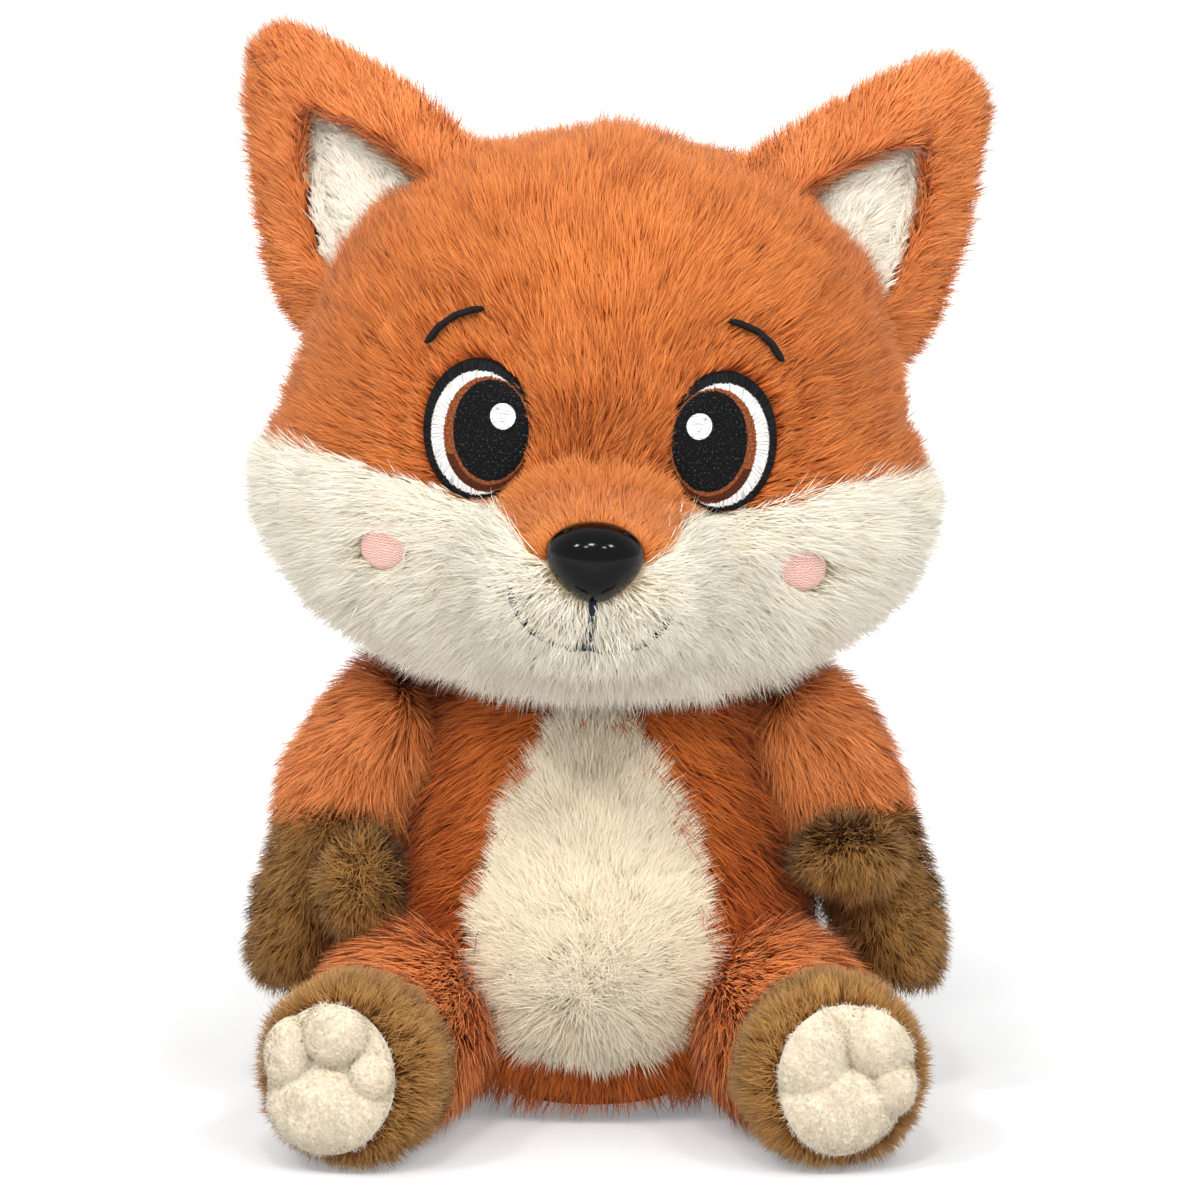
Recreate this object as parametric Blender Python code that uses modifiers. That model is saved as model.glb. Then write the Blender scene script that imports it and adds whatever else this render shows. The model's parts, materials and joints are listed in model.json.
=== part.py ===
"""A seated plush fox, about a quarter of a metre tall, built the way such a toy is made.

Metres, +Z up. The fox faces -Y and sits on Z = 0, with the origin at the middle of its seat.
Its own left side is at +X. Every stuffed form is a coarse cage of rings along a spine with
Subdivision Surface, and sewn-on panels are lifted copies of the form that carries them.
"""

import math

import bmesh
import bpy
from mathutils import Matrix, Vector

# Clearances and sheet thicknesses
SEAM_GAP = 0.0003
JOINT_GAP = 0.0008
CUT_OVERRUN = 0.004
REST_FLAT = 0.0005
PLUSH_PANEL_THICK = 0.0022
STITCH_THICK = 0.0008

# Torso, a pear that stands on its seat
TORSO_WIDTH = 0.086
TORSO_DEPTH = 0.080
TORSO_HEIGHT = 0.096
# height, half width, half depth, forward
TORSO_RING_SHARES = [
    (-0.01, 0.62, 0.62, 0.00),
    (0.05, 0.90, 0.90, 0.00),
    (0.24, 1.02, 1.00, 0.01),
    (0.45, 1.02, 1.00, 0.02),
    (0.66, 0.91, 0.90, 0.02),
    (0.84, 0.80, 0.83, 0.00),
    (0.96, 0.72, 0.77, 0.00),
    (1.06, 0.58, 0.62, 0.00),
]
BELLY_WIDTH = 0.058
BELLY_LOW = 0.012
BELLY_HIGH = 0.090
# across and up, from the panel's lower end
BELLY_OUTLINE_SHARES = [
    (0.00, 0.00),
    (0.42, 0.03),
    (0.86, 0.22),
    (1.00, 0.45),
    (0.86, 0.68),
    (0.60, 0.88),
    (0.40, 1.00),
]
SEAT_WIDTH = 0.045
SEAT_DEPTH = 0.054
SEAT_THICK = 0.0022
BAG_RADIUS = 0.0185
BAG_HEIGHT = 0.026
# outwards and up, from the middle of the bag's crown to its foot
BAG_PROFILE_SHARES = [
    (0.00, 1.00),
    (0.45, 0.97),
    (0.78, 0.86),
    (0.96, 0.64),
    (1.00, 0.42),
    (0.94, 0.16),
    (0.78, 0.00),
]
BAG_WIDEST_SHARE = 0.42
BAG_STEPS = 20

# Neck, a dome on which the head turns and nods
NECK_RADIUS = 0.0370
NECK_CENTRE_HEIGHT = 0.072
NECK_SEAT_HEIGHT = 0.093
NECK_STEPS = 24
NECK_RINGS = 9

# Head, with its cheeks and chin
HEAD_WIDTH = 0.132
HEAD_DEPTH = 0.110
HEAD_LOW = 0.096
HEAD_HIGH = 0.218
HEAD_FORWARD = 0.002
HEAD_LEAN = math.radians(3.0)
HEAD_SHIFT = 0.003
# height, half width, half depth, forward
HEAD_RING_SHARES = [
    (0.000, 0.36, 0.38, 0.150),
    (0.045, 0.68, 0.64, 0.130),
    (0.160, 1.00, 0.88, 0.070),
    (0.290, 1.13, 0.98, 0.040),
    (0.400, 1.16, 1.01, 0.015),
    (0.520, 1.03, 1.03, -0.010),
    (0.690, 0.98, 1.01, -0.030),
    (0.850, 0.84, 0.86, -0.050),
    (0.960, 0.56, 0.58, -0.060),
    (1.005, 0.24, 0.26, -0.060),
]
# The upper edge of the cream lower face, across and up, of the head's half width and height
FACE_EDGE_SHARES = [
    (0.00, 0.370),
    (0.44, 0.385),
    (0.58, 0.405),
    (0.74, 0.430),
    (0.92, 0.440),
    (1.30, 0.400),
]
FACE_PANEL_LOW_SHARE = -0.2
FACE_PANEL_BACK = 0.016

# Muzzle and the orange bridge on it
MUZZLE_WIDTH = 0.050
MUZZLE_HEIGHT = 0.040
MUZZLE_CENTRE_HEIGHT = 0.127
MUZZLE_ROOT = 0.030
MUZZLE_REACH = 0.080
# reach, half width, half height, up
MUZZLE_RING_SHARES = [
    (0.00, 1.10, 1.15, 0.00),
    (0.40, 1.10, 1.12, 0.02),
    (0.75, 0.98, 0.96, 0.02),
    (0.94, 0.76, 0.78, 0.08),
    (1.03, 0.40, 0.46, 0.14),
]
# across and up, as shares of the muzzle's half width and height
BRIDGE_OUTLINE_SHARES = [
    (0.00, 0.50),
    (0.36, 0.44),
    (0.58, 0.58),
    (0.78, 0.80),
    (0.92, 1.00),
    (0.92, 1.70),
    (0.00, 1.70),
]

# Nose, a glossy safety nose with its shank and washer
NOSE_WIDTH = 0.0215
NOSE_HEIGHT = 0.0160
NOSE_DEPTH = 0.0120
NOSE_CENTRE_HEIGHT = 0.1365
NOSE_SINK = 0.0010
NOSE_SEAT = MUZZLE_REACH - NOSE_SINK
# across and up, of half width and half height
NOSE_OUTLINE_SHARES = [
    (0.00, 1.05),
    (0.62, 1.00),
    (1.12, 0.46),
    (0.86, -0.30),
    (0.40, -0.98),
    (0.00, -1.20),
]
# depth and size
NOSE_RING_SHARES = [(-0.35, 0.80), (0.00, 1.00), (0.42, 1.02), (0.76, 0.84), (0.96, 0.50)]
SHANK_RADIUS = 0.0026
SHANK_REACH_SHARE = 0.75
SHANK_DROP = 0.0040
SHANK_LENGTH = 0.0200
SHANK_END = MUZZLE_REACH - SHANK_LENGTH
WASHER_RADIUS = 0.0062
WASHER_THICK = 0.0016
WASHER_SINK = 0.0135
WASHER_SEAT = MUZZLE_REACH - WASHER_SINK

# Embroidery on the face
EYE_SPACING = 0.0554
EYE_HEIGHT = 0.1595
EYE_WIDTH = 0.0236
EYE_TALL = 0.0308
BROW_SPACING = 0.0650
BROW_HEIGHT = 0.1835
BROW_SPAN = 0.0150
BROW_RISE = 0.0050
BROW_SLOPE = math.radians(-33.0)
BROW_THICK = 0.0022
BLUSH_SPACING = 0.0934
BLUSH_HEIGHT = 0.1305
BLUSH_RADIUS = 0.0052
MOUTH_WIDTH = 0.0360
MOUTH_LOW = 0.1165
MOUTH_RISE = 0.0120
MOUTH_THREAD = 0.0013
MOUTH_TOP_SHARE = 0.62
MOUTH_CURVE = 1.8
MOUTH_STEP_SHARES = [0.0, 0.25, 0.5, 0.75, 1.0]
BROW_STEP_SHARES = [-1.0, -0.5, 0.0, 0.5, 1.0]

# Ears
EAR_LENGTH = 0.067
EAR_WIDTH = 0.058
EAR_THICK = 0.017
EAR_ROOT_SPACING = 0.078
EAR_ROOT_HEIGHT = 0.178
EAR_ROOT_BACK = 0.004
EAR_SPLAY = math.radians(32.0)
EAR_TURN = math.radians(14.0)
EAR_HINGE_UP = 0.0150
EAR_SWING = math.radians(12.0)
# length, half width, half thickness, forward
EAR_RING_SHARES = [
    (0.00, 1.05, 1.05, 0.00),
    (0.28, 1.00, 1.08, -0.05),
    (0.52, 0.84, 1.00, -0.10),
    (0.76, 0.58, 0.90, 0.05),
    (0.93, 0.34, 0.78, 0.28),
    (1.02, 0.14, 0.40, 0.36),
]
EAR_HOLLOW_LENGTH = 0.050
EAR_HOLLOW_WIDTH = 0.033
EAR_HOLLOW_DEEP = 0.0062
EAR_HOLLOW_FORWARD = 0.0058
EAR_HOLLOW_SHARES = [
    (0.02, 0.50),
    (0.22, 1.02),
    (0.48, 0.92),
    (0.74, 0.62),
    (1.00, 0.24),
]
EAR_LINING_THICK = 0.0026
EAR_MOUTH_SHARE = 1.05

# Arms, each hung from a ball at the shoulder
SHOULDER_INSET = 0.006
SHOULDER_SPACING = TORSO_WIDTH - 2.0 * SHOULDER_INSET
SHOULDER_HEIGHT = 0.0800
SHOULDER_BACK = 0.003
SHOULDER_RADIUS = 0.0140
ARM_RADIUS = 0.0165
ARM_REACH = 0.0215
ARM_DROP = 0.039
# out, down, forward, radius, as shares of reach, drop, reach and radius
ARM_RING_SHARES = [
    (-0.05, -0.20, 0.00, 0.70),
    (0.28, -0.02, 0.00, 0.96),
    (0.66, 0.22, 0.06, 1.04),
    (0.88, 0.46, 0.20, 1.04),
    (0.98, 0.68, 0.34, 0.94),
]
PAW_WIDTH = 0.0335
PAW_DEPTH = 0.0300
PAW_LENGTH = 0.0385
PAW_SPREAD = 0.0232
PAW_SPACING = SHOULDER_SPACING + 2.0 * PAW_SPREAD
PAW_LOW = 0.0275
PAW_FORWARD = 0.0070
# height, half width, half depth, inwards
PAW_RING_SHARES = [
    (0.00, 0.46, 0.56, -0.42),
    (0.14, 0.74, 0.90, -0.32),
    (0.38, 0.92, 1.04, -0.16),
    (0.66, 1.03, 1.06, -0.02),
    (0.86, 1.04, 1.04, 0.06),
    (1.02, 0.90, 0.94, 0.10),
]
THUMB_RADIUS = 0.0100
THUMB_INWARD = 0.0085
THUMB_UP = 0.0265
THUMB_FORWARD = 0.0125

# Legs, each swung from a ball at the hip
HIP_INSET = 0.010
HIP_SPACING = TORSO_WIDTH - 2.0 * HIP_INSET
HIP_HEIGHT = 0.0190
HIP_SET_BACK = 0.024
HIP_FORWARD = TORSO_DEPTH / 2.0 - HIP_SET_BACK
HIP_RADIUS = 0.0182
HIP_CAP = 0.0085
LEG_RADIUS = 0.0192
ANKLE_SPREAD = 0.015
ANKLE_SPACING = HIP_SPACING + 2.0 * ANKLE_SPREAD
ANKLE_REACH = 0.034
ANKLE_FORWARD = HIP_FORWARD + ANKLE_REACH
ANKLE_HEIGHT = 0.0205
LEG_RING_SHARES = [(0.00, 0.94), (0.30, 1.04), (0.62, 1.05), (0.90, 1.02), (1.15, 0.90)]
FOOT_WIDTH = 0.0415
FOOT_HEIGHT = 0.0425
FOOT_DEPTH = 0.0300
FOOT_SPREAD = 0.0035
FOOT_SPACING = ANKLE_SPACING + 2.0 * FOOT_SPREAD
FOOT_REACH = 0.010
FOOT_FORWARD = ANKLE_FORWARD + FOOT_REACH
FOOT_TURN_RIGHT = math.radians(13.0)
FOOT_TURN_LEFT = math.radians(7.0)
FOOT_TIP_BACK = math.radians(6.0)
# depth, half width, half height
FOOT_RING_SHARES = [
    (-0.56, 0.60, 0.60),
    (-0.34, 0.96, 0.96),
    (0.02, 1.06, 1.06),
    (0.34, 1.00, 1.00),
    (0.50, 0.80, 0.80),
]
SOLE_WIDTH = 0.0290
SOLE_HEIGHT = 0.0330
SOLE_THICK = 0.0020
TOE_RADIUS = 0.0050
# across, up and size, of the sole's half width, half height and the toe's radius
TOE_SHARES = {"inner": (-0.68, 0.34, 0.84), "middle": (0.02, 0.62, 1.20), "outer": (0.72, 0.36, 0.84)}

# Tail, hidden behind the body
TAIL_RADIUS = 0.0150
TAIL_ROOT_RADIUS = 0.0105
TAIL_ROOT_INSET = 0.006
TAIL_ROOT_BACK = TORSO_DEPTH / 2.0 - TAIL_ROOT_INSET
TAIL_ROOT_HEIGHT = 0.020
TAIL_BACK = 0.036
TAIL_RISE = 0.056
# back, up and radius
TAIL_RING_SHARES = [
    (-0.10, 0.00, 0.48),
    (0.22, 0.00, 0.66),
    (0.66, 0.08, 0.98),
    (1.00, 0.36, 1.10),
    (1.06, 0.70, 1.06),
    (0.98, 1.00, 0.74),
    (0.92, 1.16, 0.26),
]
TAIL_TIP_SHARE = 0.66

# Joint ranges that shape the pieces
HIP_LIFT = math.radians(15.0)
TAIL_SWING = math.radians(20.0)

SOFT_LEVELS = 1
BODY_SIDES = 14
FACE_SIDES = 12
LIMB_SIDES = 10
OUTLINE_POINTS = 8
CURVE_STEPS = 4
CURVE_ORDER = 4
BALL_RINGS = 10
BALL_SIDES = 16
TOE_RINGS = 8
TOE_SIDES = 12
ROD_SIDES = 20
MERGE = 1e-7

ORANGE = (0.62, 0.16, 0.045, 1.0)
ORANGE_DEEP = (0.52, 0.12, 0.03, 1.0)
CREAM = (0.86, 0.78, 0.62, 1.0)
SOLE_CREAM = (0.90, 0.84, 0.72, 1.0)
BROWN = (0.20, 0.11, 0.045, 1.0)
BLACK_PLASTIC = (0.01, 0.01, 0.012, 1.0)
EYE_THREAD = (0.02, 0.017, 0.02, 1.0)
PINK_THREAD = (0.75, 0.36, 0.33, 1.0)
MOUTH_BLUE = (0.05, 0.07, 0.11, 1.0)
WHITE_PLASTIC = (0.8, 0.8, 0.8, 1.0)
CLOTH = (0.75, 0.72, 0.66, 1.0)
SIDE_SIGNS = {"left": 1, "right": -1}
ALONG_X = Vector((1, 0, 0))
ALONG_Y = Vector((0, 1, 0))
ALONG_Z = Vector((0, 0, 1))


def clear_scene():
    for found in list(bpy.data.objects):
        bpy.data.objects.remove(found, do_unlink=True)


def new_collection(name):
    collection = bpy.data.collections.new(name)
    bpy.context.scene.collection.children.link(collection)
    return collection


def material(name, colour, roughness):
    made = bpy.data.materials.new(name)
    made.use_nodes = True
    shader = made.node_tree.nodes["Principled BSDF"]
    shader.inputs["Base Color"].default_value = colour
    shader.inputs["Roughness"].default_value = roughness
    shader.inputs["Metallic"].default_value = 0.0
    made.diffuse_color = colour
    return made


class Workshop:
    """Collections, materials and the helpers that add objects to them."""

    def __init__(self):
        self.parts = new_collection("plush_fox")
        self.cutters = new_collection("cutters")
        self.materials = {
            "orange_fur": material("orange_fur", ORANGE, 0.9),
            "body_fur": material("body_fur", ORANGE_DEEP, 0.9),
            "cream_fur": material("cream_fur", CREAM, 0.9),
            "sole_plush": material("sole_plush", SOLE_CREAM, 0.9),
            "brown_fur": material("brown_fur", BROWN, 0.9),
            "nose_plastic": material("nose_plastic", BLACK_PLASTIC, 0.12),
            "eye_thread": material("eye_thread", EYE_THREAD, 0.5),
            "blush_thread": material("blush_thread", PINK_THREAD, 0.6),
            "mouth_thread": material("mouth_thread", MOUTH_BLUE, 0.6),
            "washer_plastic": material("washer_plastic", WHITE_PLASTIC, 0.45),
            "bag_cloth": material("bag_cloth", CLOTH, 0.85),
        }

    def add(self, name, mesh, slot=None, parent=None):
        """A part when it has a material slot, else a cutter."""
        made = bpy.data.objects.new(name, mesh)
        (self.parts if slot else self.cutters).objects.link(made)
        if slot:
            mesh.materials.append(self.materials[slot])
        else:
            made.hide_render = True
            made.display_type = "WIRE"
        made.parent = parent
        return made

    def pivot(self, name, location, turn=(0.0, 0.0, 0.0), parent=None):
        made = bpy.data.objects.new(name, None)
        self.parts.objects.link(made)
        made.location = location
        made.rotation_euler = turn
        made.parent = parent
        return made


def shrink_of(sides):
    """The share of its cage's radius that a subdivided ring of this many sides keeps."""
    return (2.0 + math.cos(2.0 * math.pi / sides)) / 3.0


def ring_cage(name, rings, sides):
    """A closed cage through rings of (centre, across, along), the last two being half-axis vectors."""
    grown = 1.0 / shrink_of(sides)
    cage = bmesh.new()
    loops = []
    for centre, across, along in rings:
        loop = []
        for step in range(sides):
            angle = 2.0 * math.pi * (step + 0.5) / sides
            point = centre + (across * math.cos(angle) + along * math.sin(angle)) * grown
            loop.append(cage.verts.new(point))
        loops.append(loop)
    for low, high in zip(loops, loops[1:]):
        for step in range(sides):
            after = (step + 1) % sides
            cage.faces.new((low[step], low[after], high[after], high[step]))
    cage.faces.new(list(reversed(loops[0])))
    cage.faces.new(loops[-1])
    bmesh.ops.recalc_face_normals(cage, faces=cage.faces)
    mesh = bpy.data.meshes.new(name)
    cage.to_mesh(mesh)
    cage.free()
    mesh.shade_smooth()
    return mesh


def subdivide(target):
    modifier = target.modifiers.new("soft", "SUBSURF")
    modifier.levels = SOFT_LEVELS
    modifier.render_levels = SOFT_LEVELS


def lift_surface(target, distance):
    modifier = target.modifiers.new("lift", "DISPLACE")
    modifier.mid_level = 0.0
    modifier.strength = distance


def cut(target, cutter, operation="DIFFERENCE", solver="EXACT"):
    modifier = target.modifiers.new(cutter.name, "BOOLEAN")
    modifier.operation = operation
    modifier.solver = solver
    modifier.object = cutter


def lifted(shop, form, distance, name):
    """A cutter that follows the form's surface at this distance outside it."""
    made = shop.add(name, form.data, parent=form.parent)
    made.matrix_basis = form.matrix_basis.copy()
    subdivide(made)
    lift_surface(made, distance)
    return made


def cut_swung(shop, target, cutter, pivot, axis, angle):
    """Cuts with a copy of a cutter, turned about an axis through a point of the world."""
    turn = Matrix.Translation(pivot) @ Matrix.Rotation(angle, 4, axis) @ Matrix.Translation(-pivot)
    made = shop.add(cutter.name + "_swung", cutter.data)
    bpy.context.view_layer.update()
    made.matrix_world = turn @ cutter.matrix_world
    for modifier in cutter.modifiers:
        if modifier.type == "SUBSURF":
            subdivide(made)
        if modifier.type == "DISPLACE":
            lift_surface(made, modifier.strength)
    # The copy lies close along the first cut, where only this solver keeps the piece whole
    cut(target, made, solver="MANIFOLD")


def ball_mesh(name, radius, sides=BALL_SIDES, rings=BALL_RINGS):
    shape = bmesh.new()
    bmesh.ops.create_uvsphere(shape, u_segments=sides, v_segments=rings, radius=radius)
    mesh = bpy.data.meshes.new(name)
    shape.to_mesh(mesh)
    shape.free()
    mesh.shade_smooth()
    return mesh


def box_mesh(name, low, high):
    shape = bmesh.new()
    bmesh.ops.create_cube(shape, size=1.0)
    size = high - low
    bmesh.ops.scale(shape, vec=size, verts=shape.verts)
    bmesh.ops.translate(shape, vec=low + size / 2.0, verts=shape.verts)
    mesh = bpy.data.meshes.new(name)
    shape.to_mesh(mesh)
    shape.free()
    return mesh


def rod_mesh(name, radius, length, sides):
    """A cylinder along Z, centred on the origin."""
    shape = bmesh.new()
    bmesh.ops.create_cone(
        shape, cap_ends=True, segments=sides, radius1=radius, radius2=radius, depth=length
    )
    mesh = bpy.data.meshes.new(name)
    shape.to_mesh(mesh)
    shape.free()
    return mesh


def prism(shop, name, points, depth, parent=None, smooth=True):
    """A cutter: a closed outline in X and Z, extruded along Y from -depth to 0."""
    curve = bpy.data.curves.new(name, "CURVE")
    curve.dimensions = "2D"
    curve.fill_mode = "BOTH"
    curve.extrude = depth / 2.0
    curve.resolution_u = CURVE_STEPS
    spline = curve.splines.new("NURBS" if smooth else "POLY")
    spline.points.add(len(points) - 1)
    for held, (across, up) in zip(spline.points, points):
        held.co = (across, up, 0.0, 1.0)
    spline.use_cyclic_u = True
    spline.order_u = CURVE_ORDER
    guide = bpy.data.objects.new(name + "_guide", curve)
    shop.cutters.objects.link(guide)
    guide.rotation_euler = (math.pi / 2.0, 0.0, 0.0)
    guide.location = (0.0, -depth / 2.0, 0.0)
    bpy.context.view_layer.update()
    graph = bpy.context.evaluated_depsgraph_get()
    mesh = bpy.data.meshes.new_from_object(guide.evaluated_get(graph))
    mesh.transform(guide.matrix_world)
    welded = bmesh.new()
    welded.from_mesh(mesh)
    bmesh.ops.remove_doubles(welded, verts=welded.verts, dist=MERGE)
    bmesh.ops.recalc_face_normals(welded, faces=welded.faces)
    welded.to_mesh(mesh)
    welded.free()
    bpy.data.objects.remove(guide, do_unlink=True)
    return shop.add(name, mesh, parent=parent)


def ellipse_points(across, up, half_width, half_height, count=OUTLINE_POINTS):
    """The held points of a round outline, grown so that the smooth curve through it has this size."""
    grown = 1.0 / shrink_of(count)
    angles = [2.0 * math.pi * step / count for step in range(count)]
    return [
        (
            across + half_width * grown * math.cos(angle),
            up + half_height * grown * math.sin(angle),
        )
        for angle in angles
    ]


def mirrored(points):
    """A half outline, from its lower end to its upper end, closed by its mirror image."""
    return points + [(-across, up) for across, up in reversed(points) if across > 0.0]


def turned(shop, name, profile, steps, slot=None, parent=None):
    """A closed solid of revolution about Z, from a profile that runs from the top to the bottom."""
    line = bmesh.new()
    points = [line.verts.new((across, 0.0, up)) for across, up in profile]
    for first, second in zip(points, points[1:]):
        line.edges.new((first, second))
    mesh = bpy.data.meshes.new(name)
    line.to_mesh(mesh)
    line.free()
    made = shop.add(name, mesh, slot, parent)
    modifier = made.modifiers.new("turn", "SCREW")
    modifier.steps = steps
    modifier.render_steps = steps
    modifier.use_merge_vertices = True
    modifier.merge_threshold = MERGE
    modifier.use_smooth_shade = True
    return made


def panel(shop, name, form, outline, thick, slot, bed=SEAM_GAP):
    """A sewn-on panel: the form's own surface, lifted to its bed and by its thickness, inside a prism."""
    outer = lifted(shop, form, bed + thick, name + "_outer")
    inner = lifted(shop, form, bed, name + "_inner")
    made = shop.add(name, outline.data.copy(), slot, outline.parent)
    made.matrix_basis = outline.matrix_basis.copy()
    cut(made, outer, "INTERSECT")
    cut(made, inner)
    return made


def horizontal_rings(shares, low, height, half_width, half_depth, mid_forward=0.0):
    """Level rings up a spine, from shares of height, half width, half depth and forward."""
    rings = []
    for up, across, deep, forward in shares:
        centre = Vector((0.0, -mid_forward - forward * half_depth, low + up * height))
        rings.append((centre, Vector((across * half_width, 0, 0)), Vector((0, deep * half_depth, 0))))
    return rings


def spine_rings(points, radii, side):
    """Round rings square to the spine through these points, each with one axis along the side vector."""
    rings = []
    for place, radius in enumerate(radii):
        before = points[max(place - 1, 0)]
        after = points[min(place + 1, len(points) - 1)]
        along = (after - before).normalized()
        across = (side - along * side.dot(along)).normalized()
        rings.append((points[place], across * radius, along.cross(across) * radius))
    return rings


def make_torso(shop, form):
    torso = shop.add("torso", form.data, "body_fur")
    subdivide(torso)
    reach = TORSO_WIDTH
    floor = shop.add(
        "seat_plane",
        box_mesh(
            "seat_plane",
            Vector((-reach, -reach, -reach)),
            Vector((reach, reach, SEAT_THICK + SEAM_GAP)),
        ),
    )
    top = shop.add(
        "neck_plane",
        box_mesh(
            "neck_plane",
            Vector((-reach, -reach, NECK_SEAT_HEIGHT - SEAM_GAP)),
            Vector((reach, reach, NECK_SEAT_HEIGHT + reach)),
        ),
    )
    cut(torso, floor)
    cut(torso, top)
    return torso


def make_seat(shop, torso):
    """The flat seat panel and, in a pocket above it, the bag of beads that weighs the toy down."""
    outline = ellipse_points(0.0, 0.0, SEAT_WIDTH / 2.0, SEAT_DEPTH / 2.0)
    seat = prism(shop, "seat_panel_outline", outline, SEAT_THICK)
    seat_panel = shop.add("seat_panel", seat.data, "body_fur")
    seat_panel.rotation_euler = (math.pi / 2.0, 0.0, 0.0)
    seat_panel.location.z = SEAT_THICK
    bag_foot = SEAT_THICK + SEAM_GAP
    profile = [(out * BAG_RADIUS, up * BAG_HEIGHT) for out, up in BAG_PROFILE_SHARES]
    bag = turned(shop, "pellet_bag", profile + [(0.0, 0.0)], BAG_STEPS, "bag_cloth")
    bag.location.z = bag_foot
    # The pocket stays one clearance outside the bag, and its mouth runs past the seat
    mouth = BAG_RADIUS + 2.0 * SEAM_GAP
    pocket_profile = [
        (out * mouth, up * BAG_HEIGHT + 2.0 * SEAM_GAP)
        for out, up in BAG_PROFILE_SHARES
        if up > BAG_WIDEST_SHARE
    ]
    pocket_profile += [(mouth, BAG_WIDEST_SHARE * BAG_HEIGHT)]
    pocket_profile += [(mouth, -CUT_OVERRUN), (0.0, -CUT_OVERRUN)]
    pocket = turned(shop, "bag_pocket", pocket_profile, BAG_STEPS)
    pocket.location.z = bag_foot
    cut(torso, pocket)


def make_neck(shop):
    """A dome whose centre is the one about which the head turns and nods."""
    rise = NECK_SEAT_HEIGHT - NECK_CENTRE_HEIGHT
    lowest = math.asin(rise / NECK_RADIUS)
    profile = []
    for step in range(NECK_RINGS):
        angle = math.pi / 2.0 + (lowest - math.pi / 2.0) * step / (NECK_RINGS - 1)
        profile.append((NECK_RADIUS * math.cos(angle), NECK_RADIUS * math.sin(angle)))
    profile[0] = (0.0, NECK_RADIUS)
    neck = turned(shop, "neck", profile + [(0.0, rise)], NECK_STEPS, "body_fur")
    neck.location.z = NECK_CENTRE_HEIGHT
    return neck


def head_height(share):
    return HEAD_LOW + share * (HEAD_HIGH - HEAD_LOW) - NECK_CENTRE_HEIGHT


def on_head(height):
    """A height above the floor, in the leaning head's own frame."""
    return height - NECK_CENTRE_HEIGHT


def make_head(shop, lean):
    head = shop.add(
        "head",
        ring_cage(
            "head",
            horizontal_rings(
                HEAD_RING_SHARES,
                head_height(0.0),
                HEAD_HIGH - HEAD_LOW,
                HEAD_WIDTH / 2.0,
                HEAD_DEPTH / 2.0,
                HEAD_FORWARD,
            ),
            BODY_SIDES,
        ),
        "orange_fur",
        lean,
    )
    subdivide(head)
    socket = shop.add(
        "neck_socket", ball_mesh("neck_socket", NECK_RADIUS + JOINT_GAP, NECK_STEPS, BALL_SIDES)
    )
    socket.location.z = NECK_CENTRE_HEIGHT
    cut(head, socket)
    return head


def make_muzzle(shop, lean, head):
    half_width = MUZZLE_WIDTH / 2.0
    half_height = MUZZLE_HEIGHT / 2.0
    middle = on_head(MUZZLE_CENTRE_HEIGHT)
    length = MUZZLE_REACH - MUZZLE_ROOT
    rings = []
    for reach, across, tall, up in MUZZLE_RING_SHARES:
        centre = Vector((0.0, -(MUZZLE_ROOT + reach * length), middle + up * half_height))
        rings.append((centre, Vector((across * half_width, 0, 0)), Vector((0, 0, tall * half_height))))
    muzzle = shop.add("muzzle", ring_cage("muzzle", rings, FACE_SIDES), "cream_fur", lean)
    subdivide(muzzle)
    cut(muzzle, lifted(shop, head, SEAM_GAP, "muzzle_seat"))
    points = [
        (across * half_width, middle + up * half_height) for across, up in BRIDGE_OUTLINE_SHARES
    ]
    outline = prism(shop, "bridge_outline", mirrored(points), MUZZLE_REACH + CUT_OVERRUN, lean)
    bridge = panel(shop, "snout_bridge", muzzle, outline, PLUSH_PANEL_THICK, "orange_fur")
    cut(bridge, lifted(shop, head, SEAM_GAP, "bridge_seat"))
    return muzzle


def make_face_panel(shop, lean, head, muzzle):
    half_width = HEAD_WIDTH / 2.0
    edge = [(across * half_width, head_height(up)) for across, up in FACE_EDGE_SHARES]
    low = head_height(FACE_PANEL_LOW_SHARE)
    points = mirrored([(0.0, low), (edge[-1][0], low)] + list(reversed(edge)))
    outline = prism(shop, "face_outline", points, HEAD_DEPTH, lean, smooth=False)
    outline.location.y = FACE_PANEL_BACK
    face = panel(shop, "face_panel", head, outline, PLUSH_PANEL_THICK, "cream_fur")
    room = PLUSH_PANEL_THICK + 2.0 * SEAM_GAP
    cut(face, lifted(shop, muzzle, room, "face_muzzle_gap"))
    socket = bpy.data.objects["neck_socket"]
    cut(face, socket)


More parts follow.
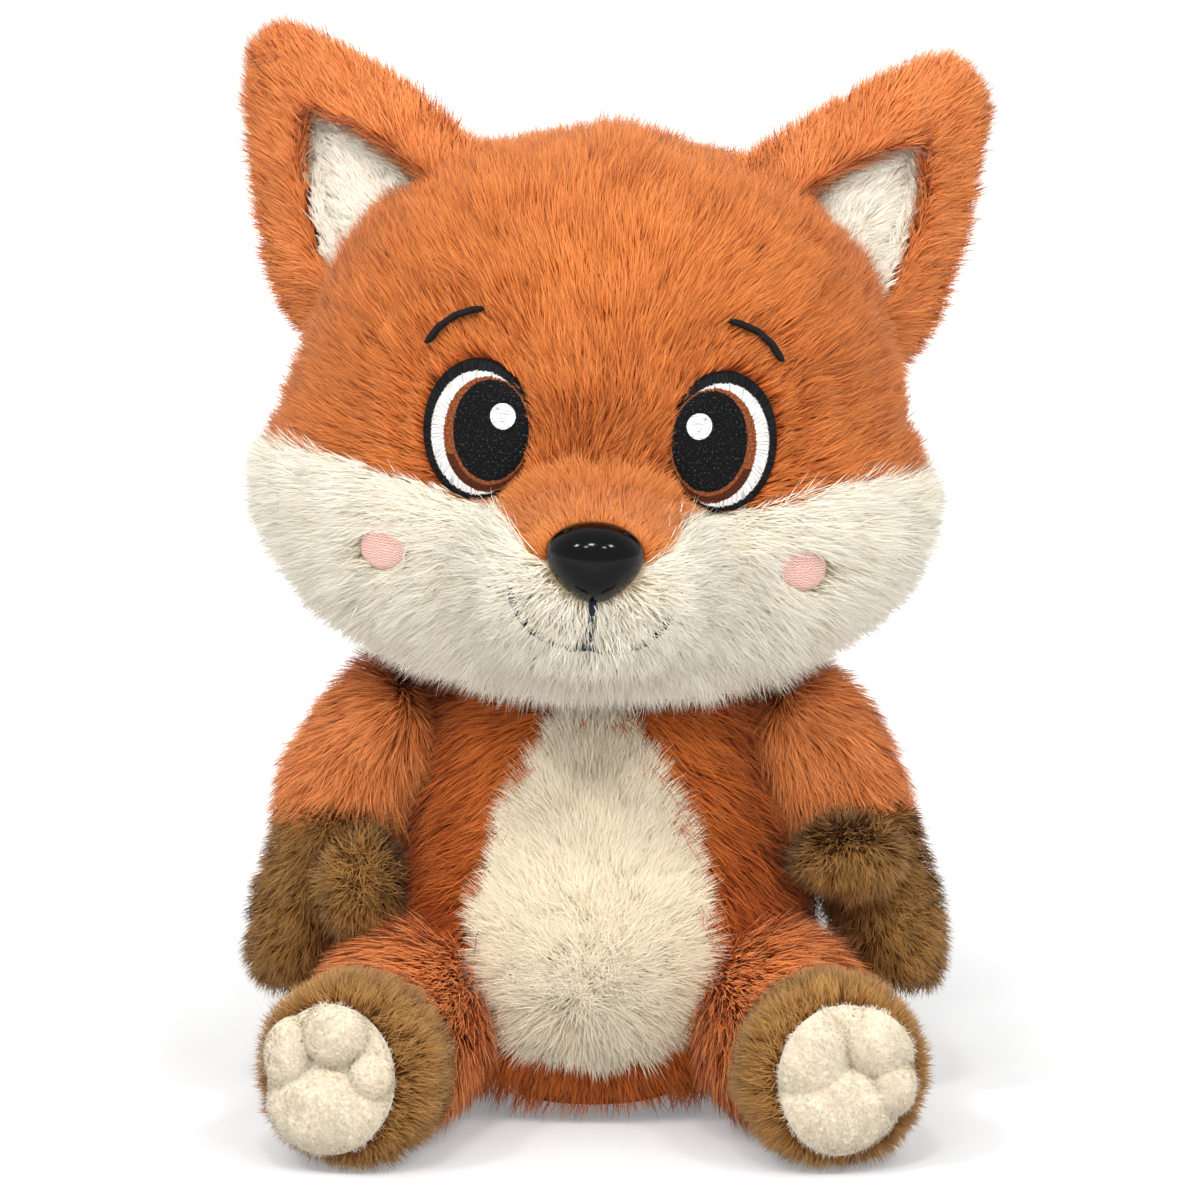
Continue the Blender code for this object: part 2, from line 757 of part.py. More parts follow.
def make_nose(shop, lean, muzzle):
    """The nose button, its shank through the muzzle, and the washer that holds it inside."""
    middle = on_head(NOSE_CENTRE_HEIGHT)
    shape = bmesh.new()
    half = [(across * NOSE_WIDTH / 2.0, up * NOSE_HEIGHT / 2.0) for across, up in NOSE_OUTLINE_SHARES]
    outline = mirrored(half)
    loops = []
    for deep, size in NOSE_RING_SHARES:
        back = -NOSE_SEAT - deep * NOSE_DEPTH
        loops.append([shape.verts.new((size * x, back, middle + size * z)) for x, z in outline])
    count = len(outline)
    for low, high in zip(loops, loops[1:]):
        for step in range(count):
            after = (step + 1) % count
            shape.faces.new((low[step], low[after], high[after], high[step]))
    shape.faces.new(list(reversed(loops[0])))
    shape.faces.new(loops[-1])
    bmesh.ops.recalc_face_normals(shape, faces=shape.faces)
    mesh = bpy.data.meshes.new("nose")
    shape.to_mesh(mesh)
    shape.free()
    mesh.shade_smooth()
    nose = shop.add("nose", mesh, "nose_plastic", lean)
    subdivide(nose)
    cut(nose, lifted(shop, muzzle, PLUSH_PANEL_THICK + 2.0 * SEAM_GAP, "nose_seat"))

    axis_height = middle - SHANK_DROP
    front = NOSE_SEAT + NOSE_DEPTH * SHANK_REACH_SHARE

    def rod(name, radius, near, far, slot=None):
        made = shop.add(name, rod_mesh(name, radius, far - near, ROD_SIDES), slot, lean)
        made.rotation_euler = (math.pi / 2.0, 0.0, 0.0)
        made.location = (0.0, -(near + far) / 2.0, axis_height)
        return made

    cut(nose, rod("nose_shank", SHANK_RADIUS, SHANK_END, front), "UNION")
    washer_near = WASHER_SEAT - SEAM_GAP - WASHER_THICK
    washer = rod(
        "nose_washer", WASHER_RADIUS, washer_near, WASHER_SEAT - SEAM_GAP, "washer_plastic"
    )
    cut(washer, rod("washer_bore", SHANK_RADIUS + SEAM_GAP, SHANK_END, front))
    cut(muzzle, rod("shank_hole", SHANK_RADIUS + SEAM_GAP, SHANK_END, front + NOSE_DEPTH))
    cut(muzzle, rod("washer_pocket", WASHER_RADIUS + 2.0 * SEAM_GAP, MUZZLE_ROOT, WASHER_SEAT))


def band_points(centre, span, rise, slope, thick):
    """The outline of an arched stitch line: a parabola of this span and rise, this thick."""
    upper = [(span / 2.0 * t, rise * (1.0 - t * t) + thick / 2.0) for t in BROW_STEP_SHARES]
    lower = [(span / 2.0 * t, rise * (1.0 - t * t) - thick / 2.0) for t in BROW_STEP_SHARES]
    lower.reverse()
    turn = Matrix.Rotation(slope, 2)
    placed = []
    for point in upper + lower:
        turned_point = turn @ Vector(point)
        placed.append((centre[0] + turned_point.x, centre[1] + turned_point.y))
    return placed


def make_stitching(shop, lean, head, muzzle):
    reach = HEAD_DEPTH
    for side, sign in SIDE_SIGNS.items():
        eye = ellipse_points(
            sign * EYE_SPACING / 2.0, on_head(EYE_HEIGHT), EYE_WIDTH / 2.0, EYE_TALL / 2.0
        )
        outline = prism(shop, side + "_eye_outline", eye, reach, lean)
        panel(shop, side + "_eye", head, outline, STITCH_THICK, "eye_thread")
        centre = (sign * BROW_SPACING / 2.0, on_head(BROW_HEIGHT))
        brow = band_points(centre, BROW_SPAN, BROW_RISE, sign * BROW_SLOPE, BROW_THICK)
        outline = prism(shop, side + "_brow_outline", brow, reach, lean, smooth=False)
        panel(shop, side + "_brow", head, outline, STITCH_THICK, "eye_thread")
        blush = ellipse_points(
            sign * BLUSH_SPACING / 2.0, on_head(BLUSH_HEIGHT), BLUSH_RADIUS, BLUSH_RADIUS
        )
        outline = prism(shop, side + "_blush_outline", blush, reach, lean)
        bed = PLUSH_PANEL_THICK + 2.0 * SEAM_GAP
        panel(shop, side + "_blush", head, outline, STITCH_THICK, "blush_thread", bed)

    half = MOUTH_WIDTH / 2.0
    thread = MOUTH_THREAD / 2.0
    top = on_head(NOSE_CENTRE_HEIGHT) - NOSE_HEIGHT * MOUTH_TOP_SHARE
    line = [
        (share * half, on_head(MOUTH_LOW) + MOUTH_RISE * share**MOUTH_CURVE)
        for share in MOUTH_STEP_SHARES
    ]
    lower = [(across, up - thread) for across, up in line]
    upper = [(across, up + thread) for across, up in reversed(line[1:])]
    right = lower + upper + [(thread, line[0][1] + thread), (thread, top)]
    closed = right + [(-across, up) for across, up in reversed(right) if across > 0.0]
    outline = prism(shop, "mouth_outline", closed, MUZZLE_REACH + CUT_OVERRUN, lean, smooth=False)
    mouth = panel(shop, "mouth_stitch", muzzle, outline, STITCH_THICK, "mouth_thread")
    cut(mouth, lifted(shop, head, PLUSH_PANEL_THICK + 2.0 * SEAM_GAP, "mouth_gap"))


def make_ear(shop, lean, head, side, sign):
    """One cupped ear: a padded leaf with a hollow, the cream lining in it, and its fold at the root."""
    root = Vector(
        (sign * EAR_ROOT_SPACING / 2.0, EAR_ROOT_BACK, on_head(EAR_ROOT_HEIGHT))
    )
    frame = shop.pivot(side + "_ear_frame", root, (0.0, sign * EAR_SPLAY, sign * EAR_TURN), lean)
    frame.rotation_mode = "ZYX"
    half_thick = EAR_THICK / 2.0

    def leaf(name, shares, low, length, half_width, half_deep, forward):
        rings = []
        for up, across, deep, ahead in shares:
            centre = Vector((0.0, -forward - ahead * half_thick, low + up * length))
            rings.append(
                (centre, Vector((across * half_width, 0, 0)), Vector((0, deep * half_deep, 0)))
            )
        return ring_cage(name, rings, FACE_SIDES)

    ear_mesh = leaf(
        side + "_ear", EAR_RING_SHARES, 0.0, EAR_LENGTH, EAR_WIDTH / 2.0, half_thick, 0.0
    )
    ear = shop.add(side + "_ear", ear_mesh, "orange_fur", frame)
    subdivide(ear)
    hollow_shares = [(up, across, 1.0, 0.0) for up, across in EAR_HOLLOW_SHARES]
    hollow_mesh = leaf(
        side + "_ear_hollow",
        hollow_shares,
        EAR_HINGE_UP / 2.0,
        EAR_HOLLOW_LENGTH,
        EAR_HOLLOW_WIDTH / 2.0,
        EAR_HOLLOW_DEEP,
        EAR_HOLLOW_FORWARD,
    )
    hollow = shop.add(side + "_ear_hollow", hollow_mesh, parent=frame)
    subdivide(hollow)
    cut(ear, hollow)
    lining = shop.add(side + "_ear_lining", hollow_mesh.copy(), "cream_fur", frame)
    subdivide(lining)
    lift_surface(lining, -SEAM_GAP)
    mouth = shop.add(side + "_ear_mouth", hollow_mesh, parent=frame)
    mouth.location.y = -EAR_LINING_THICK
    mouth.scale = (EAR_MOUTH_SHARE, 1.0, EAR_MOUTH_SHARE)
    subdivide(mouth)
    cut(lining, mouth)

    bpy.context.view_layer.update()
    seat = lifted(shop, head, SEAM_GAP, side + "_ear_seat")
    bpy.context.view_layer.update()
    hinge = frame.matrix_world @ Vector((0.0, 0.0, EAR_HINGE_UP))
    axis = (frame.matrix_world.to_3x3() @ ALONG_X).normalized()
    for piece in (ear, lining):
        cut(piece, seat)
        for angle in (-EAR_SWING, EAR_SWING):
            cut_swung(shop, piece, seat, hinge, axis, angle)


def make_arm(shop, torso, side, sign):
    shoulder = Vector((sign * SHOULDER_SPACING / 2.0, SHOULDER_BACK, SHOULDER_HEIGHT))
    pivot = shop.pivot(side + "_shoulder", shoulder)
    points = []
    radii = []
    for out, down, ahead, size in ARM_RING_SHARES:
        points.append(
            Vector((sign * out * ARM_REACH, -ahead * ARM_REACH, -down * ARM_DROP))
        )
        radii.append(size * ARM_RADIUS)
    arm = shop.add(
        side + "_arm",
        ring_cage(side + "_arm", spine_rings(points, radii, ALONG_Y), LIMB_SIDES),
        "body_fur",
        pivot,
    )
    subdivide(arm)
    paw_low = PAW_LOW - SHOULDER_HEIGHT
    rings = []
    for up, across, deep, inwards in PAW_RING_SHARES:
        centre = Vector(
            (
                sign * (PAW_SPACING / 2.0 - inwards * PAW_WIDTH / 2.0) - shoulder.x,
                -PAW_FORWARD - SHOULDER_BACK,
                paw_low + up * PAW_LENGTH,
            )
        )
        rings.append(
            (
                centre,
                Vector((across * PAW_WIDTH / 2.0, 0, 0)),
                Vector((0, deep * PAW_DEPTH / 2.0, 0)),
            )
        )
    paw = shop.add(
        side + "_paw", ring_cage(side + "_paw", rings, LIMB_SIDES), "brown_fur", pivot
    )
    subdivide(paw)
    thumb = shop.add(
        side + "_thumb",
        ball_mesh(side + "_thumb", THUMB_RADIUS, TOE_SIDES, TOE_RINGS),
        "brown_fur",
        pivot,
    )
    thumb.location = (
        sign * (PAW_SPACING / 2.0 - THUMB_INWARD) - shoulder.x,
        -PAW_FORWARD - SHOULDER_BACK - THUMB_FORWARD,
        paw_low + THUMB_UP,
    )
    paw_seat = lifted(shop, paw, SEAM_GAP, side + "_paw_seat")
    cut(thumb, paw_seat)
    cut(thumb, lifted(shop, arm, SEAM_GAP, side + "_thumb_arm_gap"))
    cut(arm, paw_seat)
    body_gap = lifted(shop, torso, SEAM_GAP, side + "_arm_seat")
    for piece in (arm, paw, thumb):
        cut(piece, body_gap)
    ball = shop.add(
        side + "_shoulder_ball", ball_mesh(side + "_shoulder_ball", SHOULDER_RADIUS), parent=pivot
    )
    cut(arm, ball, "UNION")
    socket = shop.add(
        side + "_shoulder_socket",
        ball_mesh(side + "_shoulder_socket", SHOULDER_RADIUS + JOINT_GAP),
        parent=pivot,
    )
    cut(torso, socket)


def capped_ball(shop, name, radius, flat, sign, parent):
    """A ball about its parent's origin, cut by the plane at this distance towards the middle."""
    ball = shop.add(name, ball_mesh(name, radius), parent=parent)
    far = sign * (flat + 2.0 * radius)
    low = Vector((min(-sign * flat, -far), -2.0 * radius, -2.0 * radius))
    high = Vector((max(-sign * flat, -far), 2.0 * radius, 2.0 * radius))
    cap = shop.add(name + "_cap", box_mesh(name + "_cap", low, high), parent=parent)
    cut(ball, cap)
    return ball


def make_leg(shop, torso, side, sign):
    hip = Vector((sign * HIP_SPACING / 2.0, -HIP_FORWARD, HIP_HEIGHT))
    pivot = shop.pivot(side + "_hip", hip)
    ankle = Vector((sign * ANKLE_SPACING / 2.0, -ANKLE_FORWARD, ANKLE_HEIGHT)) - hip
    points = [ankle * share for share, _ in LEG_RING_SHARES]
    radii = [size * LEG_RADIUS for _, size in LEG_RING_SHARES]
    leg = shop.add(
        side + "_leg",
        ring_cage(side + "_leg", spine_rings(points, radii, ALONG_Z), LIMB_SIDES),
        "body_fur",
        pivot,
    )
    subdivide(leg)
    clearance = PLUSH_PANEL_THICK + 2.0 * SEAM_GAP
    seat = lifted(shop, torso, clearance, side + "_leg_seat")
    bpy.context.view_layer.update()
    cut(leg, seat)
    for angle in (HIP_LIFT, HIP_LIFT / 2.0):
        cut_swung(shop, leg, seat, hip, ALONG_X, angle)
    cut(leg, capped_ball(shop, side + "_hip_ball", HIP_RADIUS, HIP_CAP, sign, pivot), "UNION")
    socket = capped_ball(
        shop, side + "_hip_socket", HIP_RADIUS + JOINT_GAP, HIP_CAP + SEAM_GAP, sign, pivot
    )
    cut(torso, socket)
    return leg, pivot, hip


def make_foot(shop, leg, pivot, hip, side, sign, turn):
    centre = Vector((sign * FOOT_SPACING / 2.0, -FOOT_FORWARD, FOOT_HEIGHT / 2.0 - REST_FLAT)) - hip
    frame = shop.pivot(side + "_foot_frame", centre, (-FOOT_TIP_BACK, 0.0, sign * turn), pivot)
    half_width = FOOT_WIDTH / 2.0
    half_height = FOOT_HEIGHT / 2.0
    rings = [
        (
            Vector((0.0, -deep * FOOT_DEPTH, 0.0)),
            Vector((across * half_width, 0, 0)),
            Vector((0, 0, tall * half_height)),
        )
        for deep, across, tall in FOOT_RING_SHARES
    ]
    foot = shop.add(side + "_foot", ring_cage(side + "_foot", rings, FACE_SIDES), "brown_fur", frame)
    subdivide(foot)
    # The leg ends in long thin faces here, where the exact solver leaves a sealed sliver
    cut(leg, lifted(shop, foot, SEAM_GAP, side + "_foot_seat"), solver="MANIFOLD")
    reach = 2.0 * FOOT_DEPTH + FOOT_FORWARD
    floor = shop.add(
        side + "_foot_floor",
        box_mesh(side + "_foot_floor", Vector((-reach, -reach, -reach)), Vector((reach, reach, 0.0))),
    )
    cut(foot, floor)
    outline = prism(
        shop,
        side + "_sole_outline",
        ellipse_points(0.0, 0.0, SOLE_WIDTH / 2.0, SOLE_HEIGHT / 2.0),
        FOOT_DEPTH,
        frame,
    )
    panel(shop, side + "_sole", foot, outline, SOLE_THICK, "sole_plush")
    bed = lifted(shop, foot, SOLE_THICK + 2.0 * SEAM_GAP, side + "_toe_bed")
    for place, (across, up, size) in TOE_SHARES.items():
        name = side + "_toe_" + place
        toe = shop.add(
            name,
            ball_mesh(name, size * TOE_RADIUS, TOE_SIDES, TOE_RINGS),
            "sole_plush",
            frame,
        )
        toe.location = (
            sign * across * SOLE_WIDTH / 2.0,
            -FOOT_DEPTH / 2.0,
            up * SOLE_HEIGHT / 2.0,
        )
        cut(toe, bed)


def make_tail(shop, torso):
    root = Vector((0.0, TAIL_ROOT_BACK, TAIL_ROOT_HEIGHT))
    pivot = shop.pivot("tail_root", root)
    points = []
    radii = []
    for back, up, size in TAIL_RING_SHARES:
        points.append(Vector((0.0, back * TAIL_BACK, up * TAIL_RISE)))
        radii.append(size * TAIL_RADIUS)
    mesh = ring_cage("tail", spine_rings(points, radii, ALONG_X), LIMB_SIDES)
    tail = shop.add("tail", mesh, "body_fur", pivot)
    tip = shop.add("tail_tip", mesh.copy(), "cream_fur", pivot)
    for piece in (tail, tip):
        subdivide(piece)
    reach = TAIL_RISE + TAIL_BACK
    level = TAIL_TIP_SHARE * TAIL_RISE
    above = shop.add(
        "tail_above",
        box_mesh("tail_above", Vector((-reach, -reach, level)), Vector((reach, reach, 2.0 * reach))),
        parent=pivot,
    )
    below = shop.add(
        "tail_below",
        box_mesh(
            "tail_below",
            Vector((-reach, -reach, -reach)),
            Vector((reach, reach, level + SEAM_GAP)),
        ),
        parent=pivot,
    )
    cut(tail, above)
    cut(tip, below)
    # The root stands clear of the body by what its edge travels when the tail swings
    cut(tail, lifted(shop, torso, TAIL_ROOT_RADIUS * math.sin(TAIL_SWING), "tail_seat"))
    ball = shop.add("tail_ball", ball_mesh("tail_ball", TAIL_ROOT_RADIUS), parent=pivot)
    cut(tail, ball, "UNION")
    socket = shop.add(
        "tail_socket", ball_mesh("tail_socket", TAIL_ROOT_RADIUS + JOINT_GAP), parent=pivot
    )
    cut(torso, socket)


def make_belly(shop, torso):
    height = BELLY_HIGH - BELLY_LOW
    half = [
        (across * BELLY_WIDTH / 2.0, BELLY_LOW + up * height) for across, up in BELLY_OUTLINE_SHARES
    ]
    outline = prism(shop, "belly_outline", mirrored(half), TORSO_DEPTH)
    panel(shop, "belly_panel", torso, outline, PLUSH_PANEL_THICK, "cream_fur")


def build():
    clear_scene()
    shop = Workshop()
    torso_cage = ring_cage(
        "torso",
        horizontal_rings(
            TORSO_RING_SHARES, 0.0, TORSO_HEIGHT, TORSO_WIDTH / 2.0, TORSO_DEPTH / 2.0
        ),
        BODY_SIDES,
    )
    torso_form = shop.add("torso_form", torso_cage)
    torso = make_torso(shop, torso_form)
    make_seat(shop, torso)
    make_belly(shop, torso_form)
    make_neck(shop)
    make_tail(shop, torso)
    neck_centre = shop.pivot("head_pivot", (0.0, 0.0, NECK_CENTRE_HEIGHT))
    lean = shop.pivot("head_frame", (-HEAD_SHIFT, 0.0, 0.0), (0.0, HEAD_LEAN, 0.0), neck_centre)
    head = make_head(shop, lean)
    muzzle = make_muzzle(shop, lean, head)
    make_face_panel(shop, lean, head, muzzle)
    make_nose(shop, lean, muzzle)
    make_stitching(shop, lean, head, muzzle)
    for side, sign in SIDE_SIGNS.items():
        make_ear(shop, lean, head, side, sign)
        make_arm(shop, torso, side, sign)
        leg, pivot, hip = make_leg(shop, torso, side, sign)
        turn = FOOT_TURN_LEFT if sign > 0 else FOOT_TURN_RIGHT
        make_foot(shop, leg, pivot, hip, side, sign, turn)


build()
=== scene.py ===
"""The dressed plush fox: padded skins, pile fibre by fibre, stitched eyes, brows and mouth, glossy nose.

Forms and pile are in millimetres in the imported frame, and mesh_piece turns them into metres. The studio's
and the materials' lengths are metres. The fox faces -Y and its own left side is at +X.
"""

import json
import math
from typing import NamedTuple

import bpy
import numpy as np
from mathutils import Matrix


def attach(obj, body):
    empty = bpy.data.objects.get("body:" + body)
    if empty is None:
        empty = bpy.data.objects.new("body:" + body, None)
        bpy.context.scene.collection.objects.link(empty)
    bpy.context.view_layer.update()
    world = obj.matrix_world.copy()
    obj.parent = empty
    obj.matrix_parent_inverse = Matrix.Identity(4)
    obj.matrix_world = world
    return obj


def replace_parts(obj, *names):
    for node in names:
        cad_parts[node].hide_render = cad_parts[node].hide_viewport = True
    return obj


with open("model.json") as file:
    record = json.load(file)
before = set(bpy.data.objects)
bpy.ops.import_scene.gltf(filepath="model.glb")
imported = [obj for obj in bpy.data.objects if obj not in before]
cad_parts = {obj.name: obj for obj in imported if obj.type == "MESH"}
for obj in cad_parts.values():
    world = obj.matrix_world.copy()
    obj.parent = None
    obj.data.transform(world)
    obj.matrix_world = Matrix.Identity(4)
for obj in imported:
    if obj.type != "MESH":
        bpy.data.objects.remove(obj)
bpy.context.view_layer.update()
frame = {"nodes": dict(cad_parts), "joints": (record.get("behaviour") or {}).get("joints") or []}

MM = 0.001
FLOOR_GAP, TIP_FLOOR_GAP = 0.3, 0.25
DISC_IN_MAP = 0.48
SIDES = (("left", 1), ("right", -1))
JOINT_PLACES = {joint["name"]: np.array(joint["pos_m"]) / MM for joint in frame["joints"]}
NECK_CENTRE = JOINT_PLACES["head_turn"][2]


# Placing

def moved(x=0.0, y=0.0, z=0.0):
    place = np.eye(4)
    place[:3, 3] = (x, y, z)
    return place


def turned(axis, degrees):
    """The 4 by 4 turn about X, Y or Z."""
    c, s = math.cos(math.radians(degrees)), math.sin(math.radians(degrees))
    one, two = {"X": (1, 2), "Y": (2, 0), "Z": (0, 1)}[axis]
    place = np.eye(4)
    place[one, one] = place[two, two] = c
    place[one, two], place[two, one] = -s, s
    return place


def aimed(vectors, place):
    """Directions of a place's own frame as world directions."""
    return vectors @ place[:3, :3].T


def placed(points, place):
    return aimed(points, place) + place[:3, 3]


def xyz(x, y, z):
    """Numbers or arrays as the columns of points or vectors."""
    return np.stack(np.broadcast_arrays(x, y, z), axis=-1).astype(float)


def unit(vectors):
    """Vectors of length 1, apart from those with next to no length."""
    return vectors / np.maximum(np.linalg.norm(vectors, axis=-1, keepdims=True), 1e-6)


def ramp(low, high, value):
    """0 below low, 1 above high and a smooth S between."""
    share = np.clip((value - low) / (high - low), 0.0, 1.0)
    return share * share * (3.0 - 2.0 * share)


def in_oval(x, z, centre, half):
    return ((x - centre[0]) / half[0]) ** 2 + ((z - centre[1]) / half[1]) ** 2 < 1.0


def hill(x, width):
    return np.exp(-((x / width) ** 2))


# Random numbers that depend on a place

def hashed(cells, seed):
    """Three even numbers from 0 to 1 for each whole-number cell: a large sine, its fraction kept."""
    stirred = cells @ np.array([12.9898, 78.233, 37.719]) + seed * 17.13
    return np.stack([np.modf(np.abs(np.sin(stirred + k * 1.7) * 43758.5453))[0] for k in range(3)], axis=-1)


def tufts(points, size, seed):
    """For each point the nearest tuft's centre and random numbers, from a jittered grid of this size."""
    base = np.floor(points / size - 0.5)
    best = np.full(len(points), np.inf)
    centre = np.zeros_like(points)
    luck = np.zeros_like(points)
    for corner in np.ndindex(2, 2, 2):
        cells = base + np.array(corner)
        numbers = hashed(cells, seed)
        found = (cells + 0.5 + 0.8 * (numbers - 0.5)) * size
        far = ((found - points) ** 2).sum(axis=1)
        nearer = far < best
        best = np.where(nearer, far, best)
        centre[nearer] = found[nearer]
        luck[nearer] = numbers[nearer]
    return centre, luck


def drift(points, size, seed):
    """Smooth noise from -1 to 1: eight cell numbers blended by the S curve along each axis."""
    cell = np.floor(points / size)
    part = ramp(0.0, 1.0, points / size - cell)
    total = np.zeros_like(points)
    for corner in np.ndindex(2, 2, 2):
        pick = np.array(corner)
        weight = np.prod(np.where(pick, part, 1.0 - part), axis=1)
        total += weight[:, None] * hashed(cell + pick, seed)
    return 2.0 * total - 1.0


def wavy(points, size, seed, height, axis=0):
    """One coordinate of the noise, for an edge that wavers."""
    return drift(points, size, seed)[:, axis] * height


# Soft forms

def spline_weights(part):
    """The shares of four neighbouring rows in a uniform cubic B-spline, between the second and the third."""
    f = part[:, None]
    return [w / 6.0 for w in ((1 - f) ** 3, 3 * f**3 - 6 * f**2 + 4, -3 * f**3 + 3 * f**2 + 3 * f + 1, f**3)]


class Form:
    """A soft form: its point at (t, a) is centre(t) + across(t) cos a + along(t) sin a.

    Each of the three is a uniform cubic B-spline through the rows of the ring table, and t runs from 0 at
    the first cap, a ring of no size, to 1 at the last.
    """

    def __init__(self, centres, across, along, place=None, shape=None):
        rings = np.hstack([centres, across, along])
        first, last = rings[:1].copy(), rings[-1:].copy()
        first[:, 3:] = last[:, 3:] = 0.0
        before, after = 2.0 * first - rings[:1], 2.0 * last - rings[-1:]
        self.rows = np.vstack([before, first, rings, last, after])
        self.place = np.eye(4) if place is None else place
        self.shape = shape

    def local(self, t, a):
        knots = np.clip(t, 0.0, 1.0) * (len(self.rows) - 3)
        cell = np.minimum(np.floor(knots).astype(int), len(self.rows) - 4)
        row = sum(w * self.rows[cell + k] for k, w in enumerate(spline_weights(knots - cell)))
        point = row[:, :3] + row[:, 3:6] * np.cos(a)[:, None] + row[:, 6:] * np.sin(a)[:, None]
        return point if self.shape is None else self.shape(point, row[:, :3])

    def at(self, t, a):
        return placed(self.local(t, a), self.place)

    def back(self, points):
        """World points in the form's own frame."""
        return (points - self.place[:3, 3]) @ self.place[:3, :3]

    def facing(self, t, a):
        """The surface point and its outward normal: the cross product of the two steps along t and a."""
        step = 2e-4
        t = np.clip(t, 2 * step, 1 - 2 * step)
        point = self.at(t, a)
        along = self.at(t + step, a) - self.at(t - step, a)
        around = self.at(t, a + step) - self.at(t, a - step)
        normal = unit(np.cross(around, along))
        agree = (self.outward(point, t, a) * normal).sum(axis=1)
        return point, normal * (-1.0 if np.median(agree) < 0 else 1.0)

    def outward(self, point, t, a):
        return point - self.at(t, a + np.pi)


def level_rings(table, low, height, half_width, half_depth, forward=0.0):
    """Level rings up a form from rows of height, half width, half depth and forward, as shares of its sizes."""
    up, wide, deep, ahead = np.array(table).T
    centres = xyz(0.0, -forward - ahead * half_depth, low + up * height)
    return centres, xyz(wide * half_width, 0.0, 0.0), xyz(0.0, deep * half_depth, 0.0)


def upright_rings(reach, half_width, half_height, middle):
    """Upright rings along -Y, each at its reach, with its half width, half height and height of its middle."""
    return xyz(0.0, -reach, middle), xyz(half_width, 0.0, 0.0), xyz(0.0, 0.0, half_height)


def spine_rings(points, radii, side):
    """Round rings square to the line through these points, one axis along the side vector."""
    after = np.vstack([points[1:], points[-1:]])
    before = np.vstack([points[:1], points[:-1]])
    along = unit(after - before)
    across = unit(side - along * (along @ side)[:, None])
    radii = np.array(radii)[:, None]
    return points, across * radii, np.cross(along, across) * radii


# Meshes

def mesh_piece(name, points, faces, body, material, uv=None, lit=None):
    """An object from arrays: faces is a list of whole-number arrays, each with 3 or 4 columns of corners.

    Where lit is given, the light falls on each point as on a surface that faces that way.
    """
    corners = np.concatenate([group.ravel() for group in faces]).astype(np.int32)
    sizes = np.concatenate([np.full(len(group), group.shape[1]) for group in faces]).astype(np.int32)
    mesh = bpy.data.meshes.new(name)
    mesh.vertices.add(len(points))
    mesh.vertices.foreach_set("co", np.ascontiguousarray(points * MM, np.float32).ravel())
    mesh.loops.add(len(corners))
    mesh.loops.foreach_set("vertex_index", corners)
    mesh.polygons.add(len(sizes))
    mesh.polygons.foreach_set("loop_start", (np.cumsum(sizes) - sizes).astype(np.int32))
    mesh.polygons.foreach_set("use_smooth", np.ones(len(sizes), bool))
    if uv is not None:
        layer = mesh.uv_layers.new(name="OFBake")
        layer.data.foreach_set("uv", np.ascontiguousarray(uv[corners], np.float32).ravel())
    if lit is not None:
        layer = mesh.attributes.new("custom_normal", "FLOAT_VECTOR", "POINT")
        layer.data.foreach_set("vector", np.ascontiguousarray(lit, np.float32).ravel())
    mesh.update(calc_edges=True)
    mesh.materials.append(material)
    made = bpy.data.objects.new(name, mesh)
    bpy.context.scene.collection.objects.link(made)
    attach(made, body)
    return made


def grid_faces(rows, cols, wrap):
    """Four-cornered faces of a grid of rows by cols points, closed round the columns where wrap is true."""
    index = np.arange(rows * cols).reshape(rows, cols)
    right = np.roll(index, -1, axis=1)
    if not wrap:
        index, right = index[:, :-1], right[:, :-1]
    return np.stack([index[:-1], right[:-1], right[1:], index[1:]], axis=-1).reshape(-1, 4)


def fan_faces(ring, middle):
    """Triangles from each step of a ring of corners to one in its middle."""
    return np.stack([np.roll(ring, -1), ring, np.full(len(ring), middle)], axis=1)


def facing_out(points, faces, outward):
    """The faces, each turned over where its own normal goes against the outward vector of its first corner."""
    a, b, c = (points[faces[:, k]] for k in range(3))
    against = (np.cross(b - a, c - a) * outward[faces[:, 0]]).sum(axis=1) < 0
    return np.where(against[:, None], faces[:, ::-1], faces)


def skin(name, form, body, fabric, nodes=(), inset=0.0, keep=None, rows=64, cols=96, uv=None):
    """A form's surface, sunk by inset, on a grid with closed poles."""
    around = np.linspace(0, 2 * np.pi, cols, endpoint=False)
    t, a = (grid.ravel() for grid in np.meshgrid(np.linspace(0.0, 1.0, rows), around, indexing="ij"))
    points, normals = form.facing(t, a)
    sunk = points - normals * inset
    sunk[:, 2] = np.maximum(sunk[:, 2], FLOOR_GAP)
    faces = grid_faces(rows, cols, True)
    if keep is not None:
        faces = faces[keep(points[faces].mean(axis=1))]
    everything = np.vstack([sunk, sunk[:cols].mean(axis=0), sunk[-cols:].mean(axis=0)])
    outward = np.vstack([normals, normals[:1], normals[-1:]])
    groups = [facing_out(everything, faces, outward)]
    ring = np.arange(cols)
    for start, pole in ((0, rows * cols), ((rows - 1) * cols, rows * cols + 1)):
        if keep is None or keep(points[start:start + 1])[0]:
            groups.append(facing_out(everything, fan_faces(ring + start, pole), outward))
    if uv is not None:
        flat = uv(t, a)
        uv = np.vstack([flat, flat[:cols].mean(axis=0), flat[-cols:].mean(axis=0)])
    made = mesh_piece(name, everything, groups, body, fabric.cloth, uv)
    if nodes:
        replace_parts(made, *nodes)


# Pile

FULL_SHARE = 1.0
FIBRES_PER_PIECE = 64000
FIBRE_POINTS = 5
SCATTER_CELLS = 150


